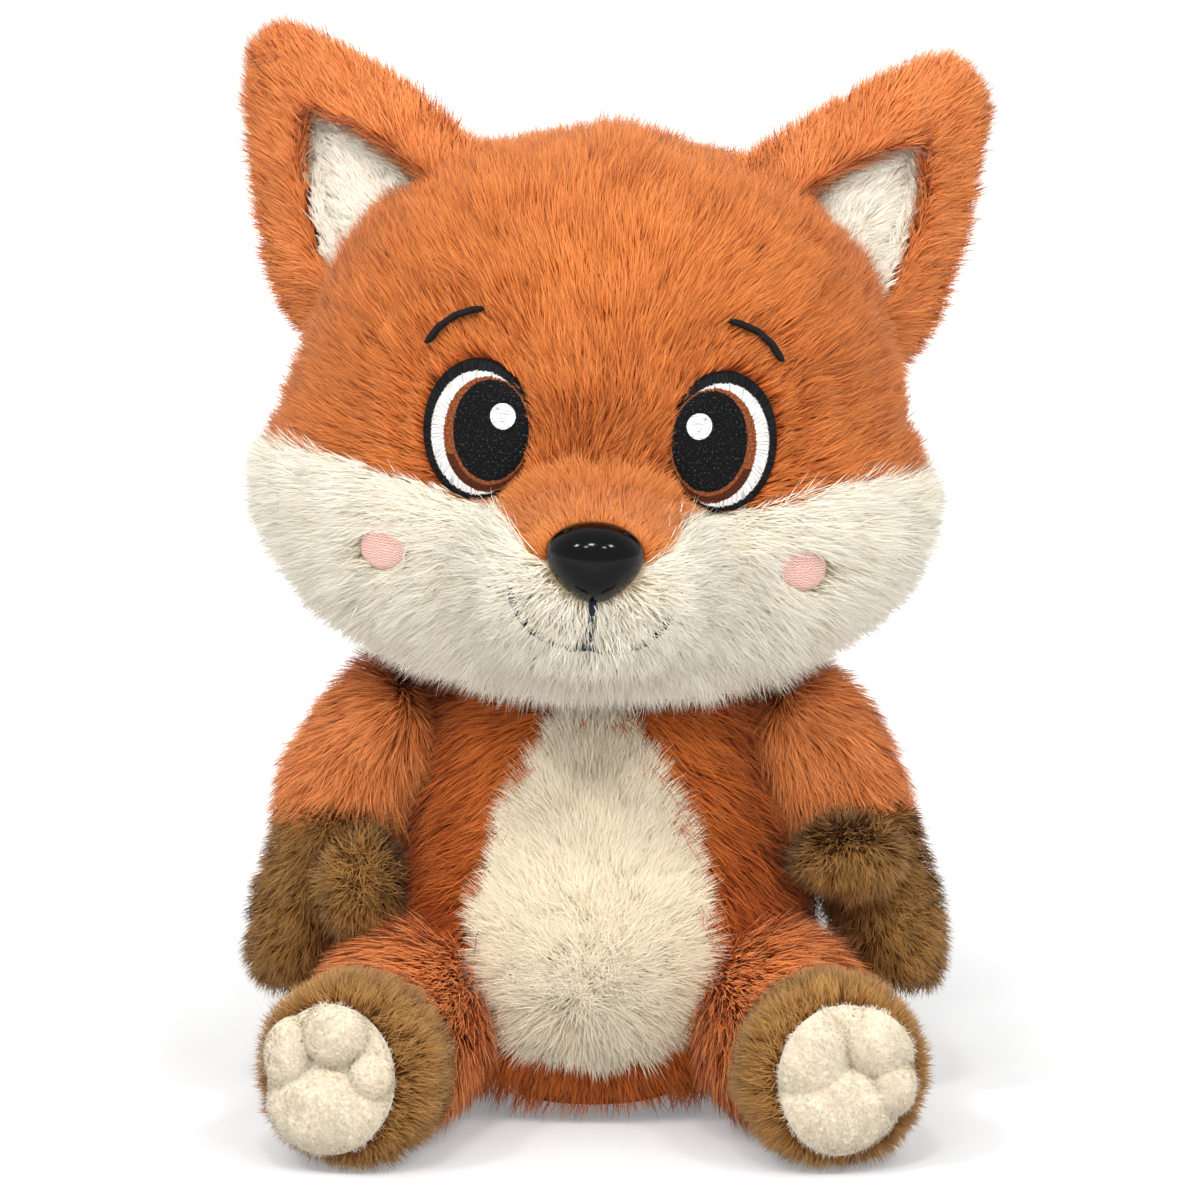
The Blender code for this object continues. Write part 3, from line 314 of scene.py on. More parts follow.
class Pile(NamedTuple):
    """How a fabric's pile looks.

    Length, width, inset of the roots and the two tuft sizes are mm; leans are degrees from the normal at the
    root and at the tip; pull is how far a tip is drawn to the middle of its tuft, broad and fine; mess is the
    spread of the fibres' directions and sway the strength of the waves in them.
    """

    length: float
    lean: tuple = (38, 72)
    width: float = 0.30
    inset: float = 4.0
    pull: tuple = (0.35, 0.55)
    tuft: tuple = (9.0, 3.2)
    mess: float = 0.22
    sway: float = 0.35


def scattered(form, count, seed, density):
    """Even random places on a form: cells picked by area times density, then a random spot in each cell."""
    rng = np.random.default_rng(seed)
    shares = (np.arange(SCATTER_CELLS) + 0.5) / SCATTER_CELLS
    t, a = np.meshgrid(shares, shares * 2 * np.pi, indexing="ij")
    t, a = t.ravel(), a.ravel()
    step = 1e-3
    point, normal = form.facing(t, a)
    along = form.at(np.minimum(t + step, 1.0), a) - form.at(np.maximum(t - step, 0.0), a)
    around = form.at(t, a + step) - form.at(t, a - step)
    area = np.linalg.norm(np.cross(along, around), axis=1) * density(point, normal)
    edges = np.cumsum(area)
    pick = np.searchsorted(edges, (np.arange(count) + rng.random(count)) / count * edges[-1])
    pick = np.minimum(pick, len(t) - 1)
    jitter = (rng.random((count, 2)) - 0.5) / SCATTER_CELLS
    return t[pick] + jitter[:, 0], a[pick] + jitter[:, 1] * 2 * np.pi


def facing_weight(points, normals):
    """Fewer fibres where the fox faces away from the front and few underneath."""
    return (0.55 + 0.45 * ramp(-0.5, 0.3, -normals[:, 1])) * (0.25 + 0.75 * ramp(-0.95, -0.6, normals[:, 2]))


def roots(form, count, seed, rng, where):
    """The fibres' places on a form and the normals there, kept by the share that where gives."""
    def density(points, normals):
        return facing_weight(points, normals) * (where(points) if where else 1.0)

    point, normal = form.facing(*scattered(form, count, seed, density))
    if where:
        kept = rng.random(count) < where(point)
        point, normal = point[kept], normal[kept]
    return point, normal


def on_surface(vectors, normal):
    """What is left of the vectors when their part along the normal is taken away."""
    return vectors - normal * (vectors * normal).sum(axis=1, keepdims=True)


def fibre_pieces(name, body, fabric, place, points, normal, lit, uv):
    """The fibres as meshes, shared out round the form so that none holds more than FIBRES_PER_PIECE."""
    off = place - place.mean(axis=0)
    order = np.argsort(np.arctan2(off[:, 0], -off[:, 1]))
    parts = max(1, math.ceil(len(points) / FIBRES_PER_PIECE))
    for number, chosen in enumerate(np.array_split(order, parts)):
        first = np.arange(len(chosen))[:, None] * FIBRE_POINTS
        own = points[chosen].reshape(-1, 3)
        outward = np.repeat(normal[chosen], FIBRE_POINTS, axis=0)
        groups = [facing_out(own, first + np.array(corners), outward) for corners in ([0, 1, 3, 2], [2, 3, 4])]
        label = name if parts == 1 else f"{name}_{number + 1}"
        light = np.repeat(lit[chosen], FIBRE_POINTS, axis=0)
        mesh_piece(label, own, groups, body, fabric.pile, uv[chosen].reshape(-1, 2), light)


def coat(name, form, body, fabric, pile, count, comb, seed, where=None, length=None, avoid=(), tone=None):
    """Pile as flat tapering fibres, bent along the comb from the root's lean to the tip's.

    A fibre stands up more where the comb's vector is shorter than 1, and its tip is drawn towards the middle
    of its tuft at two sizes. It is shortened until its tip clears what it should avoid. Its place in the
    material's map is its own tone across, which tone adds to, and its height up.
    """
    rng = np.random.default_rng(seed)
    point, normal = roots(form, int(count * FULL_SHARE), seed, rng, where)
    count = len(point)
    flow = comb(point)
    strength = np.minimum(np.linalg.norm(flow, axis=1), 1.0)
    sway = drift(point, 14, seed + 1) * pile.sway + drift(point, 5, seed + 2) * pile.sway * 0.7
    flow = unit(flow) * strength[:, None] + sway + rng.normal(0.0, pile.mess, (count, 3))
    flow = unit(on_surface(flow, normal))
    broad, broad_luck = tufts(point, pile.tuft[0], seed + 3)
    fine, fine_luck = tufts(point, pile.tuft[1], seed + 4)
    size = pile.length * (0.72 + 0.38 * rng.random(count)) * (0.9 + 0.25 * broad_luck[:, 0])
    if length is not None:
        size = size * length(point)
    root = point - normal * pile.inset
    lean = np.array(pile.lean)[:, None] * (0.72 + 0.28 * strength)
    lean = np.radians(lean + rng.normal(0.0, 9.0, (2, count)) + 12.0 * (fine_luck[:, 1] - 0.5))
    drawn = on_surface((broad - point) * pile.pull[0] + (fine - point) * pile.pull[1], normal)
    first, second = (np.cos(angle)[:, None] * normal + np.sin(angle)[:, None] * flow for angle in lean)

    def bent(share, size):
        reach = (share - 0.5 * share**2) * first + 0.5 * share**2 * second
        return root + size[:, None] * reach * 1.15 + drawn * share**1.5

    for clear in avoid:
        for _ in range(4):
            size = np.where(clear(bent(1.0, size)) | clear(bent(0.6, size)), size * 0.62, size)
    middle, tip = bent(0.5, size), bent(1.0, size)
    side = unit(np.cross(flow, normal))
    roll = rng.normal(0.0, 0.5, count)[:, None]
    lit = unit(
        normal + 0.30 * side * rng.normal(0.0, 1.0, (count, 1)) + flow * rng.normal(0.10, 0.22, (count, 1))
    )
    half_width = pile.width * (0.75 + 0.5 * rng.random(count)) / 2
    side = unit(side * np.cos(roll) + normal * np.sin(roll)) * half_width[:, None]
    points = np.stack([root - side, root + side, middle - side * 0.85, middle + side * 0.85, tip], axis=1)
    points[:, :, 2] = np.maximum(points[:, :, 2], TIP_FLOOR_GAP)
    shade = 0.5 + 0.24 * (fine_luck[:, 2] - 0.5) + 0.22 * (broad_luck[:, 2] - 0.5)
    shade = shade + rng.normal(0.0, 0.19, count)
    if tone is not None:
        shade = shade + tone(point)
    across = np.clip(shade, 0.02, 0.97)[:, None] + np.array([0.0, 0.012, 0.0, 0.012, 0.006])
    up = np.broadcast_to(np.array([0.02, 0.02, 0.5, 0.5, 0.98]), across.shape)
    fibre_pieces(name, body, fabric, point, points, normal, lit, np.stack([across, up], axis=2))


# Materials

def colour(red, green, blue):
    """A colour written from 0 to 255, as the linear values that a shader takes."""
    parts = [c / 255.0 for c in (red, green, blue)]
    return tuple(c / 12.92 if c <= 0.04045 else ((c + 0.055) / 1.055) ** 2.4 for c in parts) + (1.0,)


class Nodes:
    """A node tree, with a short way to add each kind of node and get its output."""

    def __init__(self, tree):
        self.tree = tree

    def join(self, value, socket):
        """Links an output to a socket, or sets the socket to a value."""
        if isinstance(value, bpy.types.NodeSocket):
            self.tree.links.new(value, socket)
        else:
            socket.default_value = value

    def add(self, kind, inputs, **settings):
        node = self.tree.nodes.new("ShaderNode" + kind)
        for key, value in settings.items():
            setattr(node, key, value)
        for key, value in inputs.items():
            self.join(value, node.inputs[key])
        return node

    def math(self, how, *values):
        return self.add("Math", dict(enumerate(values)), operation=how).outputs[0]

    def plus(self, one, two):
        return self.math("ADD", one, two)

    def minus(self, one, two):
        return self.math("SUBTRACT", one, two)

    def times(self, one, two):
        return self.math("MULTIPLY", one, two)

    def over(self, one, two):
        return self.math("DIVIDE", one, two)

    def place(self):
        return self.add("TexCoord", {}).outputs["Object"]

    def noise(self, place, scale, detail=2.0):
        return self.add("TexNoise", {"Vector": place, "Scale": scale, "Detail": detail}).outputs["Fac"]

    def span(self, value, low, high, to_low=0.0, to_high=1.0):
        """The value spread from between low and high to between the other two."""
        ends = {"From Min": low, "From Max": high, "To Min": to_low, "To Max": to_high}
        return self.add("MapRange", {"Value": value, **ends}).outputs[0]

    def stops(self, value, *marks):
        """A colour ramp of (place, colour) marks over a value."""
        node = self.add("ValToRGB", {"Fac": value})
        held = node.color_ramp.elements
        while len(held) < len(marks):
            held.new(0.5)
        for mark, (where, shown) in zip(held, marks):
            mark.position = where
            mark.color = shown
        return node.outputs["Color"]

    def mix(self, share, one, two, how="MIX"):
        return self.add("Mix", {0: share, 6: one, 7: two}, data_type="RGBA", blend_type=how).outputs[2]

    def seen_rays(self):
        """1 for rays from the camera, and for those that reach it by a mirror or through the pile, else 0."""
        rays = self.add("LightPath", {}).outputs
        direct = self.math("MAXIMUM", rays["Is Camera Ray"], rays["Is Glossy Ray"])
        return self.math("MAXIMUM", direct, rays["Is Transmission Ray"])

    def across_up(self):
        """The two coordinates of the piece's own map."""
        uv = self.add("UVMap", {}, uv_map="OFBake").outputs["UV"]
        split = self.add("SeparateXYZ", {0: uv})
        return split.outputs["X"], split.outputs["Y"]

    def disc(self):
        """Shares from -1 to 1 across and up a disc or a band laid flat in its map."""
        return [self.over(self.minus(value, 0.5), DISC_IN_MAP) for value in self.across_up()]

    def from_middle(self, x, y):
        return self.math("SQRT", self.plus(self.times(x, x), self.times(y, y)))

    def oval(self, x, y, centre, half):
        """The distance from an upright oval's centre, 1 at its edge."""
        return self.from_middle(
            self.over(self.minus(x, centre[0]), half[0]), self.over(self.minus(y, centre[1]), half[1])
        )

    def streaks(self, x, y, across, up, scale=1.0):
        """Noise stretched into threads: its place is x and y times unlike scales."""
        place = self.add("CombineXYZ", {0: self.times(x, across), 1: self.times(y, up)})
        return self.noise(place.outputs[0], scale)


class Shader(Nodes):
    """A new material, with what is the same all over set on the shader's own sockets."""

    def __init__(self, name, roughness, specular, sheen=0.0):
        self.material = bpy.data.materials.new(name)
        self.material.use_nodes = True
        super().__init__(self.material.node_tree)
        self.surface = self.tree.nodes["Principled BSDF"].inputs
        self.show(roughness, "Roughness")
        self.show(specular, "Specular IOR Level")
        self.show(sheen, "Sheen Weight")
        self.show(0.5, "Sheen Roughness")

    def show(self, value, socket="Base Color"):
        self.join(value, self.surface[socket])

    def bump(self, height, strength, distance):
        node = self.add("Bump", {"Height": height, "Strength": strength, "Distance": distance})
        self.show(node.outputs["Normal"], "Normal")


def pile_material(name, root, middle, tip, dark, light):
    """Pile: root to tip up the fibre, darker or lighter by the fibre's own tone. The darker root colour is
    painted shade deep in the pile.
    """
    pile = Shader(name, 0.7, specular=0.12, sheen=0.08)
    tone, up = pile.across_up()
    height = pile.stops(up, (0.0, colour(*root)), (0.45, colour(*middle)), (1.0, colour(*tip)))
    tint = pile.stops(tone, (0.0, (*dark, 1)), (0.5, (1, 1, 1, 1)), (1.0, (*light, 1)))
    pile.show(pile.mix(1.0, height, tint, "MULTIPLY"))
    return pile.material


def backing_material(name, shown, deep):
    """The knitted cloth under the pile: fine loops and soft clouds of colour, with a small relief."""
    cloth = Shader(name, 0.9, specular=0.1, sheen=0.15)
    place = cloth.place()
    cloth.show(cloth.stops(cloth.noise(place, 260.0, 5.0), (0.3, colour(*deep)), (0.7, colour(*shown))))
    loops = cloth.add("TexVoronoi", {"Vector": place, "Scale": 900.0}).outputs["Distance"]
    cloth.bump(loops, 0.6, 0.0006)
    return cloth.material


class Fabric(NamedTuple):
    """A record's material slot, which nothing here reads, with the materials of the cloth and of its pile."""

    slot: str
    cloth: object
    pile: object = None


# Colours of a fibre's root, middle and tip, then what the darkest and the lightest fibre are multiplied by; the
# darker roots are painted shade deep in the pile
PILES = {
    "orange": ((114, 42, 10), (187, 92, 36), (222, 136, 72), (0.52, 0.40, 0.30), (1.26, 1.36, 1.42)),
    # painted shade: the same orange painted darker all over, for the torso, neck and tail
    "body": ((104, 38, 8), (182, 84, 30), (214, 120, 54), (0.54, 0.42, 0.32), (1.22, 1.32, 1.38)),
    # painted light: the same orange painted lighter, for the arms, legs and ears
    "lit_orange": ((142, 60, 22), (216, 116, 56), (238, 156, 94), (0.56, 0.44, 0.34), (1.2, 1.3, 1.36)),
    "bridge": ((144, 62, 18), (200, 108, 46), (228, 148, 86), (0.70, 0.60, 0.50), (1.14, 1.2, 1.24)),
    "cream": ((222, 198, 154), (252, 242, 219), (255, 251, 239), (0.84, 0.77, 0.65), (1.0, 1.0, 1.0)),
    "brown": ((80, 48, 18), (140, 92, 42), (186, 142, 84), (0.56, 0.50, 0.42), (1.32, 1.34, 1.36)),
    "belly": ((196, 172, 128), (236, 221, 190), (250, 240, 218), (0.82, 0.75, 0.62), (1.02, 1.02, 1.02)),
    "lining": ((240, 222, 194), (254, 246, 230), (255, 251, 240), (0.95, 0.92, 0.87), (1.0, 1.0, 1.0)),
    "sole": ((192, 176, 148), (222, 210, 188), (247, 240, 226), (0.88, 0.84, 0.78), (1.03, 1.03, 1.03)),
}
BACKINGS = {
    "orange": ((170, 78, 32), (120, 48, 16)),
    "body": ((150, 60, 24), (104, 38, 12)),
    "cream": ((238, 226, 198), (214, 196, 160)),
    "brown": ((98, 66, 30), (64, 42, 18)),
    "sole": ((232, 220, 196), (210, 194, 166)),
}
pile_of = {name: pile_material(name + "_pile", *row) for name, row in PILES.items()}
cloth_of = {name: backing_material(name + "_backing", *row) for name, row in BACKINGS.items()}
HEAD_FUR = Fabric("orange_fur", cloth_of["orange"], pile_of["orange"])
BRIDGE_FUR = Fabric("orange_fur", cloth_of["orange"], pile_of["bridge"])
# painted light: the ears' pile is the orange painted lighter
LIT_EAR_FUR = Fabric("orange_fur", cloth_of["orange"], pile_of["lit_orange"])
CREAM_FUR = Fabric("cream_fur", cloth_of["cream"], pile_of["cream"])
LINING_FUR = Fabric("cream_fur", cloth_of["cream"], pile_of["lining"])
BELLY_FUR = Fabric("cream_fur", cloth_of["cream"], pile_of["belly"])
# painted shade: the torso's, neck's and tail's pile is the orange painted darker
SHADED_BODY_FUR = Fabric("body_fur", cloth_of["body"], pile_of["body"])
# painted light: the arms' and legs' pile is the orange painted lighter
LIT_LIMB_FUR = Fabric("body_fur", cloth_of["body"], pile_of["lit_orange"])
BROWN_FUR = Fabric("brown_fur", cloth_of["brown"], pile_of["brown"])
SOLE_PLUSH = Fabric("sole_plush", cloth_of["sole"], pile_of["sole"])


# Camera, light and floor

IMAGE_PX = 1200
PX_PER_MM = 4.452
CAMERA_RISE = math.radians(10.4)
CAMERA_FAR = 1.6
SENSOR_MM = 36.0
LOOK_ASIDE = 1.5 * MM
LOOK_HEIGHT = 113.7 * MM
LAMPS_AIM = np.array([0.0, 0.0, 0.11])
LARGEST_SPARK = 0.5
# name, place, size in metres and power in watts; only the small ones show in the nose
LAMPS = (
    ("key_light", (-0.60, -1.05, 1.05), 1.30, 3.6),
    ("fill_light", (0.90, -0.95, 0.70), 1.30, 4.0),
    ("front_light", (0.05, -1.50, 0.22), 1.20, 5.0),
    ("left_light", (-1.30, -0.60, 0.25), 1.00, 4.2),
    ("right_light", (1.30, -0.60, 0.25), 1.00, 4.2),
    ("top_light", (0.0, 0.10, 1.30), 1.20, 5.0),
    ("back_light", (-0.75, 0.90, 0.55), 0.80, 3.0),
    ("left_spark", (-0.60, -0.72, 1.00), 0.13, 3.8),
    ("middle_spark", (-0.06, -0.80, 1.02), 0.13, 3.6),
    ("right_spark", (0.55, -0.72, 1.00), 0.13, 3.0),
    ("low_left_spark", (-0.24, -0.90, 0.88), 0.11, 1.3),
    ("low_right_spark", (0.30, -0.90, 0.88), 0.11, 1.3),
)
FLOOR_HALF = 9.0


def linked(name, data):
    made = bpy.data.objects.new(name, data)
    bpy.context.scene.collection.objects.link(made)
    return made


def camera():
    """The camera ten degrees above the table, with the photo's scale at the fox."""
    made = linked("camera", bpy.data.cameras.new("camera"))
    bpy.context.scene.camera = made
    back, up = math.cos(CAMERA_RISE) * CAMERA_FAR, math.sin(CAMERA_RISE) * CAMERA_FAR
    made.location = (LOOK_ASIDE, -back, LOOK_HEIGHT + up)
    made.rotation_euler = (math.pi / 2 - CAMERA_RISE, 0.0, 0.0)
    made.data.sensor_width = SENSOR_MM
    made.data.lens = SENSOR_MM * CAMERA_FAR / (IMAGE_PX / PX_PER_MM * MM)
    made.data.clip_start = 0.05
    made.data.clip_end = 20.0


def lamps():
    """Soft boxes all round, aimed at the fox, and five small lamps that glint in the nose."""
    for name, place, size, power in LAMPS:
        lamp = linked(name, bpy.data.lights.new(name, "AREA"))
        lamp.data.size = size
        lamp.data.energy = power
        lamp.visible_glossy = size < LARGEST_SPARK
        lamp.location = place
        x, y, z = LAMPS_AIM - np.array(place)
        lamp.rotation_euler = (math.pi / 2 + math.atan2(z, math.hypot(x, y)), 0.0, math.atan2(-x, y))


def surroundings():
    """A white world: full strength where it is seen, weaker as a light."""
    world = bpy.data.worlds.new("studio")
    bpy.context.scene.world = world
    world.use_nodes = True
    nodes = Nodes(world.node_tree)
    background = nodes.tree.nodes["Background"].inputs
    nodes.join(nodes.math("MULTIPLY_ADD", nodes.seen_rays(), 0.55, 0.45), background["Strength"])
    nodes.join((1.0, 1.0, 1.0, 1.0), background["Color"])


def floor():
    """Pale paper that keeps the fox's shadow and glows to white away from it."""
    paper = Shader("floor_paper", 0.95, specular=0.0)
    place = paper.place()
    grain = paper.noise(place, 40.0)
    paper.show(paper.stops(grain, (0.0, (0.60, 0.60, 0.60, 1)), (1.0, (0.64, 0.64, 0.64, 1))))
    away = paper.add("VectorMath", {0: place}, operation="LENGTH").outputs["Value"]
    glow = paper.span(away, 0.10, 0.62, 0.24, 1.0)
    paper.show((1.0, 1.0, 1.0, 1.0), "Emission Color")
    paper.show(paper.times(paper.seen_rays(), glow), "Emission Strength")
    mesh = bpy.data.meshes.new("floor")
    corners = [(x * FLOOR_HALF, y * FLOOR_HALF, 0) for x, y in ((-1, -1), (1, -1), (1, 1), (-1, 1))]
    mesh.from_pydata(corners, [], [(0, 1, 2, 3)])
    mesh.materials.append(paper.material)
    linked("floor", mesh)


camera()
lamps()
surroundings()
floor()
bpy.context.scene.view_settings.view_transform = "Standard"


# Head

HEAD_PLACE = moved(-3, 0, NECK_CENTRE) @ turned("Y", 3.0)
HEAD_LOW, HEAD_HIGH = 96, 218
HEAD_RINGS = [
    (0.000, 0.36, 0.38, 0.150),
    (0.045, 0.68, 0.64, 0.130),
    (0.160, 1.00, 0.88, 0.070),
    (0.290, 1.13, 0.98, 0.040),
    (0.400, 1.16, 1.01, 0.015),
    (0.520, 1.03, 1.03, -0.010),
    (0.690, 0.98, 1.01, -0.030),
    (0.850, 0.84, 0.86, -0.050),
    (0.960, 0.56, 0.58, -0.060),
    (1.005, 0.24, 0.26, -0.060),
]
HEAD_HALF_WIDTH, HEAD_HALF_DEPTH, HEAD_FORWARD = 66, 55, 2
HEAD = Form(
    *level_rings(
        HEAD_RINGS, HEAD_LOW - NECK_CENTRE, HEAD_HIGH - HEAD_LOW, HEAD_HALF_WIDTH, HEAD_HALF_DEPTH, HEAD_FORWARD
    ),
    place=HEAD_PLACE,
)
MUZZLE_BACK, MUZZLE_REACH, MUZZLE_HALF_WIDTH, MUZZLE_HALF_HEIGHT, MUZZLE_MIDDLE = 30, 50, 25, 20, 127
reach, wide, tall, up = np.array([
    (0.00, 1.10, 1.15, 0.00),
    (0.40, 1.10, 1.12, 0.02),
    (0.75, 0.98, 0.96, 0.02),
    (0.94, 0.76, 0.78, 0.08),
    (1.03, 0.40, 0.46, 0.14),
]).T
MUZZLE = Form(
    *upright_rings(
        MUZZLE_BACK + MUZZLE_REACH * reach, wide * MUZZLE_HALF_WIDTH, tall * MUZZLE_HALF_HEIGHT,
        MUZZLE_MIDDLE - NECK_CENTRE + up * MUZZLE_HALF_HEIGHT,
    ),
    place=HEAD_PLACE,
)


def with_neighbours(field):
    """Each cell's value plus those of its four neighbours."""
    return field + sum(np.roll(field, s, axis) for s in (-1, 1) for axis in (0, 1))


class Relief:
    """The front of a form as a depth over x and z: the nearest point of a fine grid in each square cell."""

    def __init__(self, form, cell=0.7):
        t, a = np.meshgrid(np.linspace(0.001, 0.999, 700), np.linspace(0, 2 * np.pi, 700), indexing="ij")
        points = form.local(t.ravel(), a.ravel())
        flat = points[:, [0, 2]]
        self.cell = cell
        self.low = flat.min(axis=0) - cell
        depth = np.full(np.ceil((flat.max(axis=0) - self.low) / cell).astype(int) + 2, np.inf)
        column, row = np.floor((flat - self.low) / cell).astype(int).T
        np.minimum.at(depth, (column, row), points[:, 1])
        held = np.isfinite(depth).astype(float)
        depth = np.where(held, depth, 0.0)
        for _ in range(3):
            weight = with_neighbours(held)
            depth, held = with_neighbours(depth) / np.maximum(weight, 1e-9), np.minimum(weight, 1.0)
        self.depth = depth

    def at(self, x, z):
        """The depth at (x, z), blended between the four nearest cells."""
        u = np.clip((x - self.low[0]) / self.cell - 0.5, 0, self.depth.shape[0] - 1.001)
        v = np.clip((z - self.low[1]) / self.cell - 0.5, 0, self.depth.shape[1] - 1.001)
        i, j = u.astype(int), v.astype(int)
        f, g = u - i, v - j
        one = self.depth[i, j] * (1 - f) + self.depth[i + 1, j] * f
        two = self.depth[i, j + 1] * (1 - f) + self.depth[i + 1, j + 1] * f
        return one * (1 - g) + two * g

    def raised(self, x, z, lift):
        """Points on the front surface, lifted along its normal, and the normals."""
        step = 1.2
        slope_x = (self.at(x + step, z) - self.at(x - step, z)) / (2 * step)
        slope_z = (self.at(x, z + step) - self.at(x, z - step)) / (2 * step)
        normal = unit(xyz(slope_x, -1.0, slope_z))
        return xyz(x, self.at(x, z), z) + normal * np.asarray(lift)[..., None], normal


class Patch(Form):
    """A raised patch on a form's front, lifted over centre + half * t * (cos a, sin a)."""

    def __init__(self, relief, centre, half, lift, place):
        self.relief, self.centre, self.half, self.lift, self.place = relief, centre, half, lift, place

    def local(self, t, a):
        u, v = t * np.cos(a), t * np.sin(a)
        x, z = self.centre[0] + self.half[0] * u, self.centre[1] + self.half[1] * v
        return self.relief.raised(x, z, self.lift(u, v))[0]

    def outward(self, point, t, a):
        return np.broadcast_to(aimed(np.array([0.0, -1.0, 0.0]), self.place), point.shape)


FACE = Relief(HEAD)
SNOUT = Relief(MUZZLE)


def head_xz(points):
    """World points as x and z in the head's own frame, z from the floor, and y."""
    own = HEAD.back(points)
    return own[:, 0], own[:, 2] + NECK_CENTRE, own[:, 1]


CREAM_EDGE = np.array([(0.0, 141.1), (29.0, 143.0), (38.3, 145.4), (48.8, 148.5), (60.7, 149.7), (85.8, 144.8)])
BRIDGE_EDGE = np.array([(0.0, 136.0), (9.0, 135.8), (14.5, 138.6), (19.5, 143.0), (23.0, 148.0), (40.0, 175.0)])
EYES = {side: (27.7 * sign, 159.5) for side, sign in SIDES}
EYE_HALF = (11.8, 15.4)
EYE_PATCH_HALF = (12.5, 15.8)
BLUSHES = {side: (46.7 * sign, 130.5) for side, sign in SIDES}
BLUSH_HALF = (5.3, 5.3)
NOSE_CENTRE, NOSE_CLEAR_HALF = (0.0, 136.8), (10.4, 7.6)


def on_cheeks(points):
    """Whether a point of the head lies in the cream lower face."""
    x, z, y = head_xz(points)
    return (z < np.interp(np.abs(x), *CREAM_EDGE.T) + wavy(points, 6, 5, 0.8)) & (y < 14)


def on_bridge(points):
    x, z, _ = head_xz(points)
    return z > np.interp(np.abs(x), *BRIDGE_EDGE.T)


def oval_clear(centre, half, share=1.0):
    """Whether a world point lies in front of an upright oval on the face."""
    def inside(points):
        x, z, y = head_xz(points)
        return in_oval(x, z, centre, (half[0] * share, half[1] * share)) & (y < 0)
    return inside


EYE_CLEAR = [oval_clear(centre, EYE_HALF, 0.97) for centre in EYES.values()]
BLUSH_CLEAR = [oval_clear(centre, BLUSH_HALF, 0.86) for centre in BLUSHES.values()]
NOSE_CLEAR = [oval_clear(NOSE_CENTRE, NOSE_CLEAR_HALF)]
# where the head lies behind the muzzle and nothing shows
behind_muzzle = oval_clear((0.0, 128.0), (22.0, 18.0))


def away_from(x, y, z):
    """A comb that runs from one point in the head's frame outwards over the surface."""
    def comb(points):
        return unit(aimed(HEAD.back(points) - xyz(x, y, z - NECK_CENTRE), HEAD.place))
    return comb


def head_comb(points):
    """Up and outwards from the snout, over the crown and down the back of the head."""
    behind = ramp(0, 45, points[:, 1])[:, None]
    return away_from(0, -70, 132)(points) * (1 - behind) + np.array([0.0, 0.3, -1.0]) * behind


def share_of(test):
    return lambda points: test(points).astype(float)


def not_of(*tests):
    """1 where none of the tests holds, else 0."""
    return lambda points: (~np.any([test(points) for test in tests], axis=0)).astype(float)


def eye_trim(points):
    """Pile is clipped short round each eye and stands longer in a crest on the crown."""
    x, z, y = head_xz(points)
    near = np.ones(len(points))
    for cx, cz in EYES.values():
        off = np.sqrt(((x - cx) / (EYE_HALF[0] * 1.28)) ** 2 + ((z - cz - 3) / (EYE_HALF[1] * 1.38)) ** 2)
        near = np.minimum(near, 0.58 + 0.42 * ramp(0.92, 1.15, off))
    return np.where(y < 0, near, 1.0) * (1.0 + 0.40 * hill(x - 1, 6) * ramp(206, 211, z))


def between_eyes(points):
    """The short light pile on the head between the snout and the forehead."""
    x, z, y = head_xz(points)
    edge = 151.5 - 4.5 * (x / 17) ** 2 + wavy(points, 4, 8, 0.8)
    return (np.abs(x) < 19) & (z < edge) & (y < 0) & ~on_cheeks(points)


def brow_painted_shade_and_light(points):
    """The head's pile is painted darker between the eyes, as painted shade, and a little lighter over the
    forehead, as painted light.
    """
    x, z, y = head_xz(points)
    return (0.10 * hill(x, 34) * hill(z - 196, 13) - 0.38 * hill(x, 13) * hill(z - 157, 9)) * (y < 0)


def longer_behind(points):
    """The snout's pile grows longer towards the cheeks and covers its seam."""
    return 1.0 + 0.65 * ramp(-72, -58, HEAD.back(points)[:, 1])


HEAD_PILE = Pile(9.5, lean=(36, 74), width=0.27, inset=5.8, pull=(0.12, 0.3), mess=0.16)
CHEEK_PILE = Pile(10.0, lean=(22, 54), width=0.27, inset=6.0, pull=(0.22, 0.4), tuft=(7.0, 2.4), mess=0.34)
SNOUT_PILE = Pile(6.6, lean=(20, 50), width=0.24, inset=3.8, pull=(0.22, 0.4), tuft=(6.0, 2.2), mess=0.42)
BETWEEN_PILE = Pile(7.0, lean=(28, 64), width=0.22, inset=5.0, pull=(0.2, 0.35), tuft=(6.0, 2.0), sway=0.2)
BRIDGE_PILE = Pile(5.0, lean=(30, 66), width=0.22, inset=3.2, pull=(0.2, 0.35), tuft=(6.0, 2.0), sway=0.2)

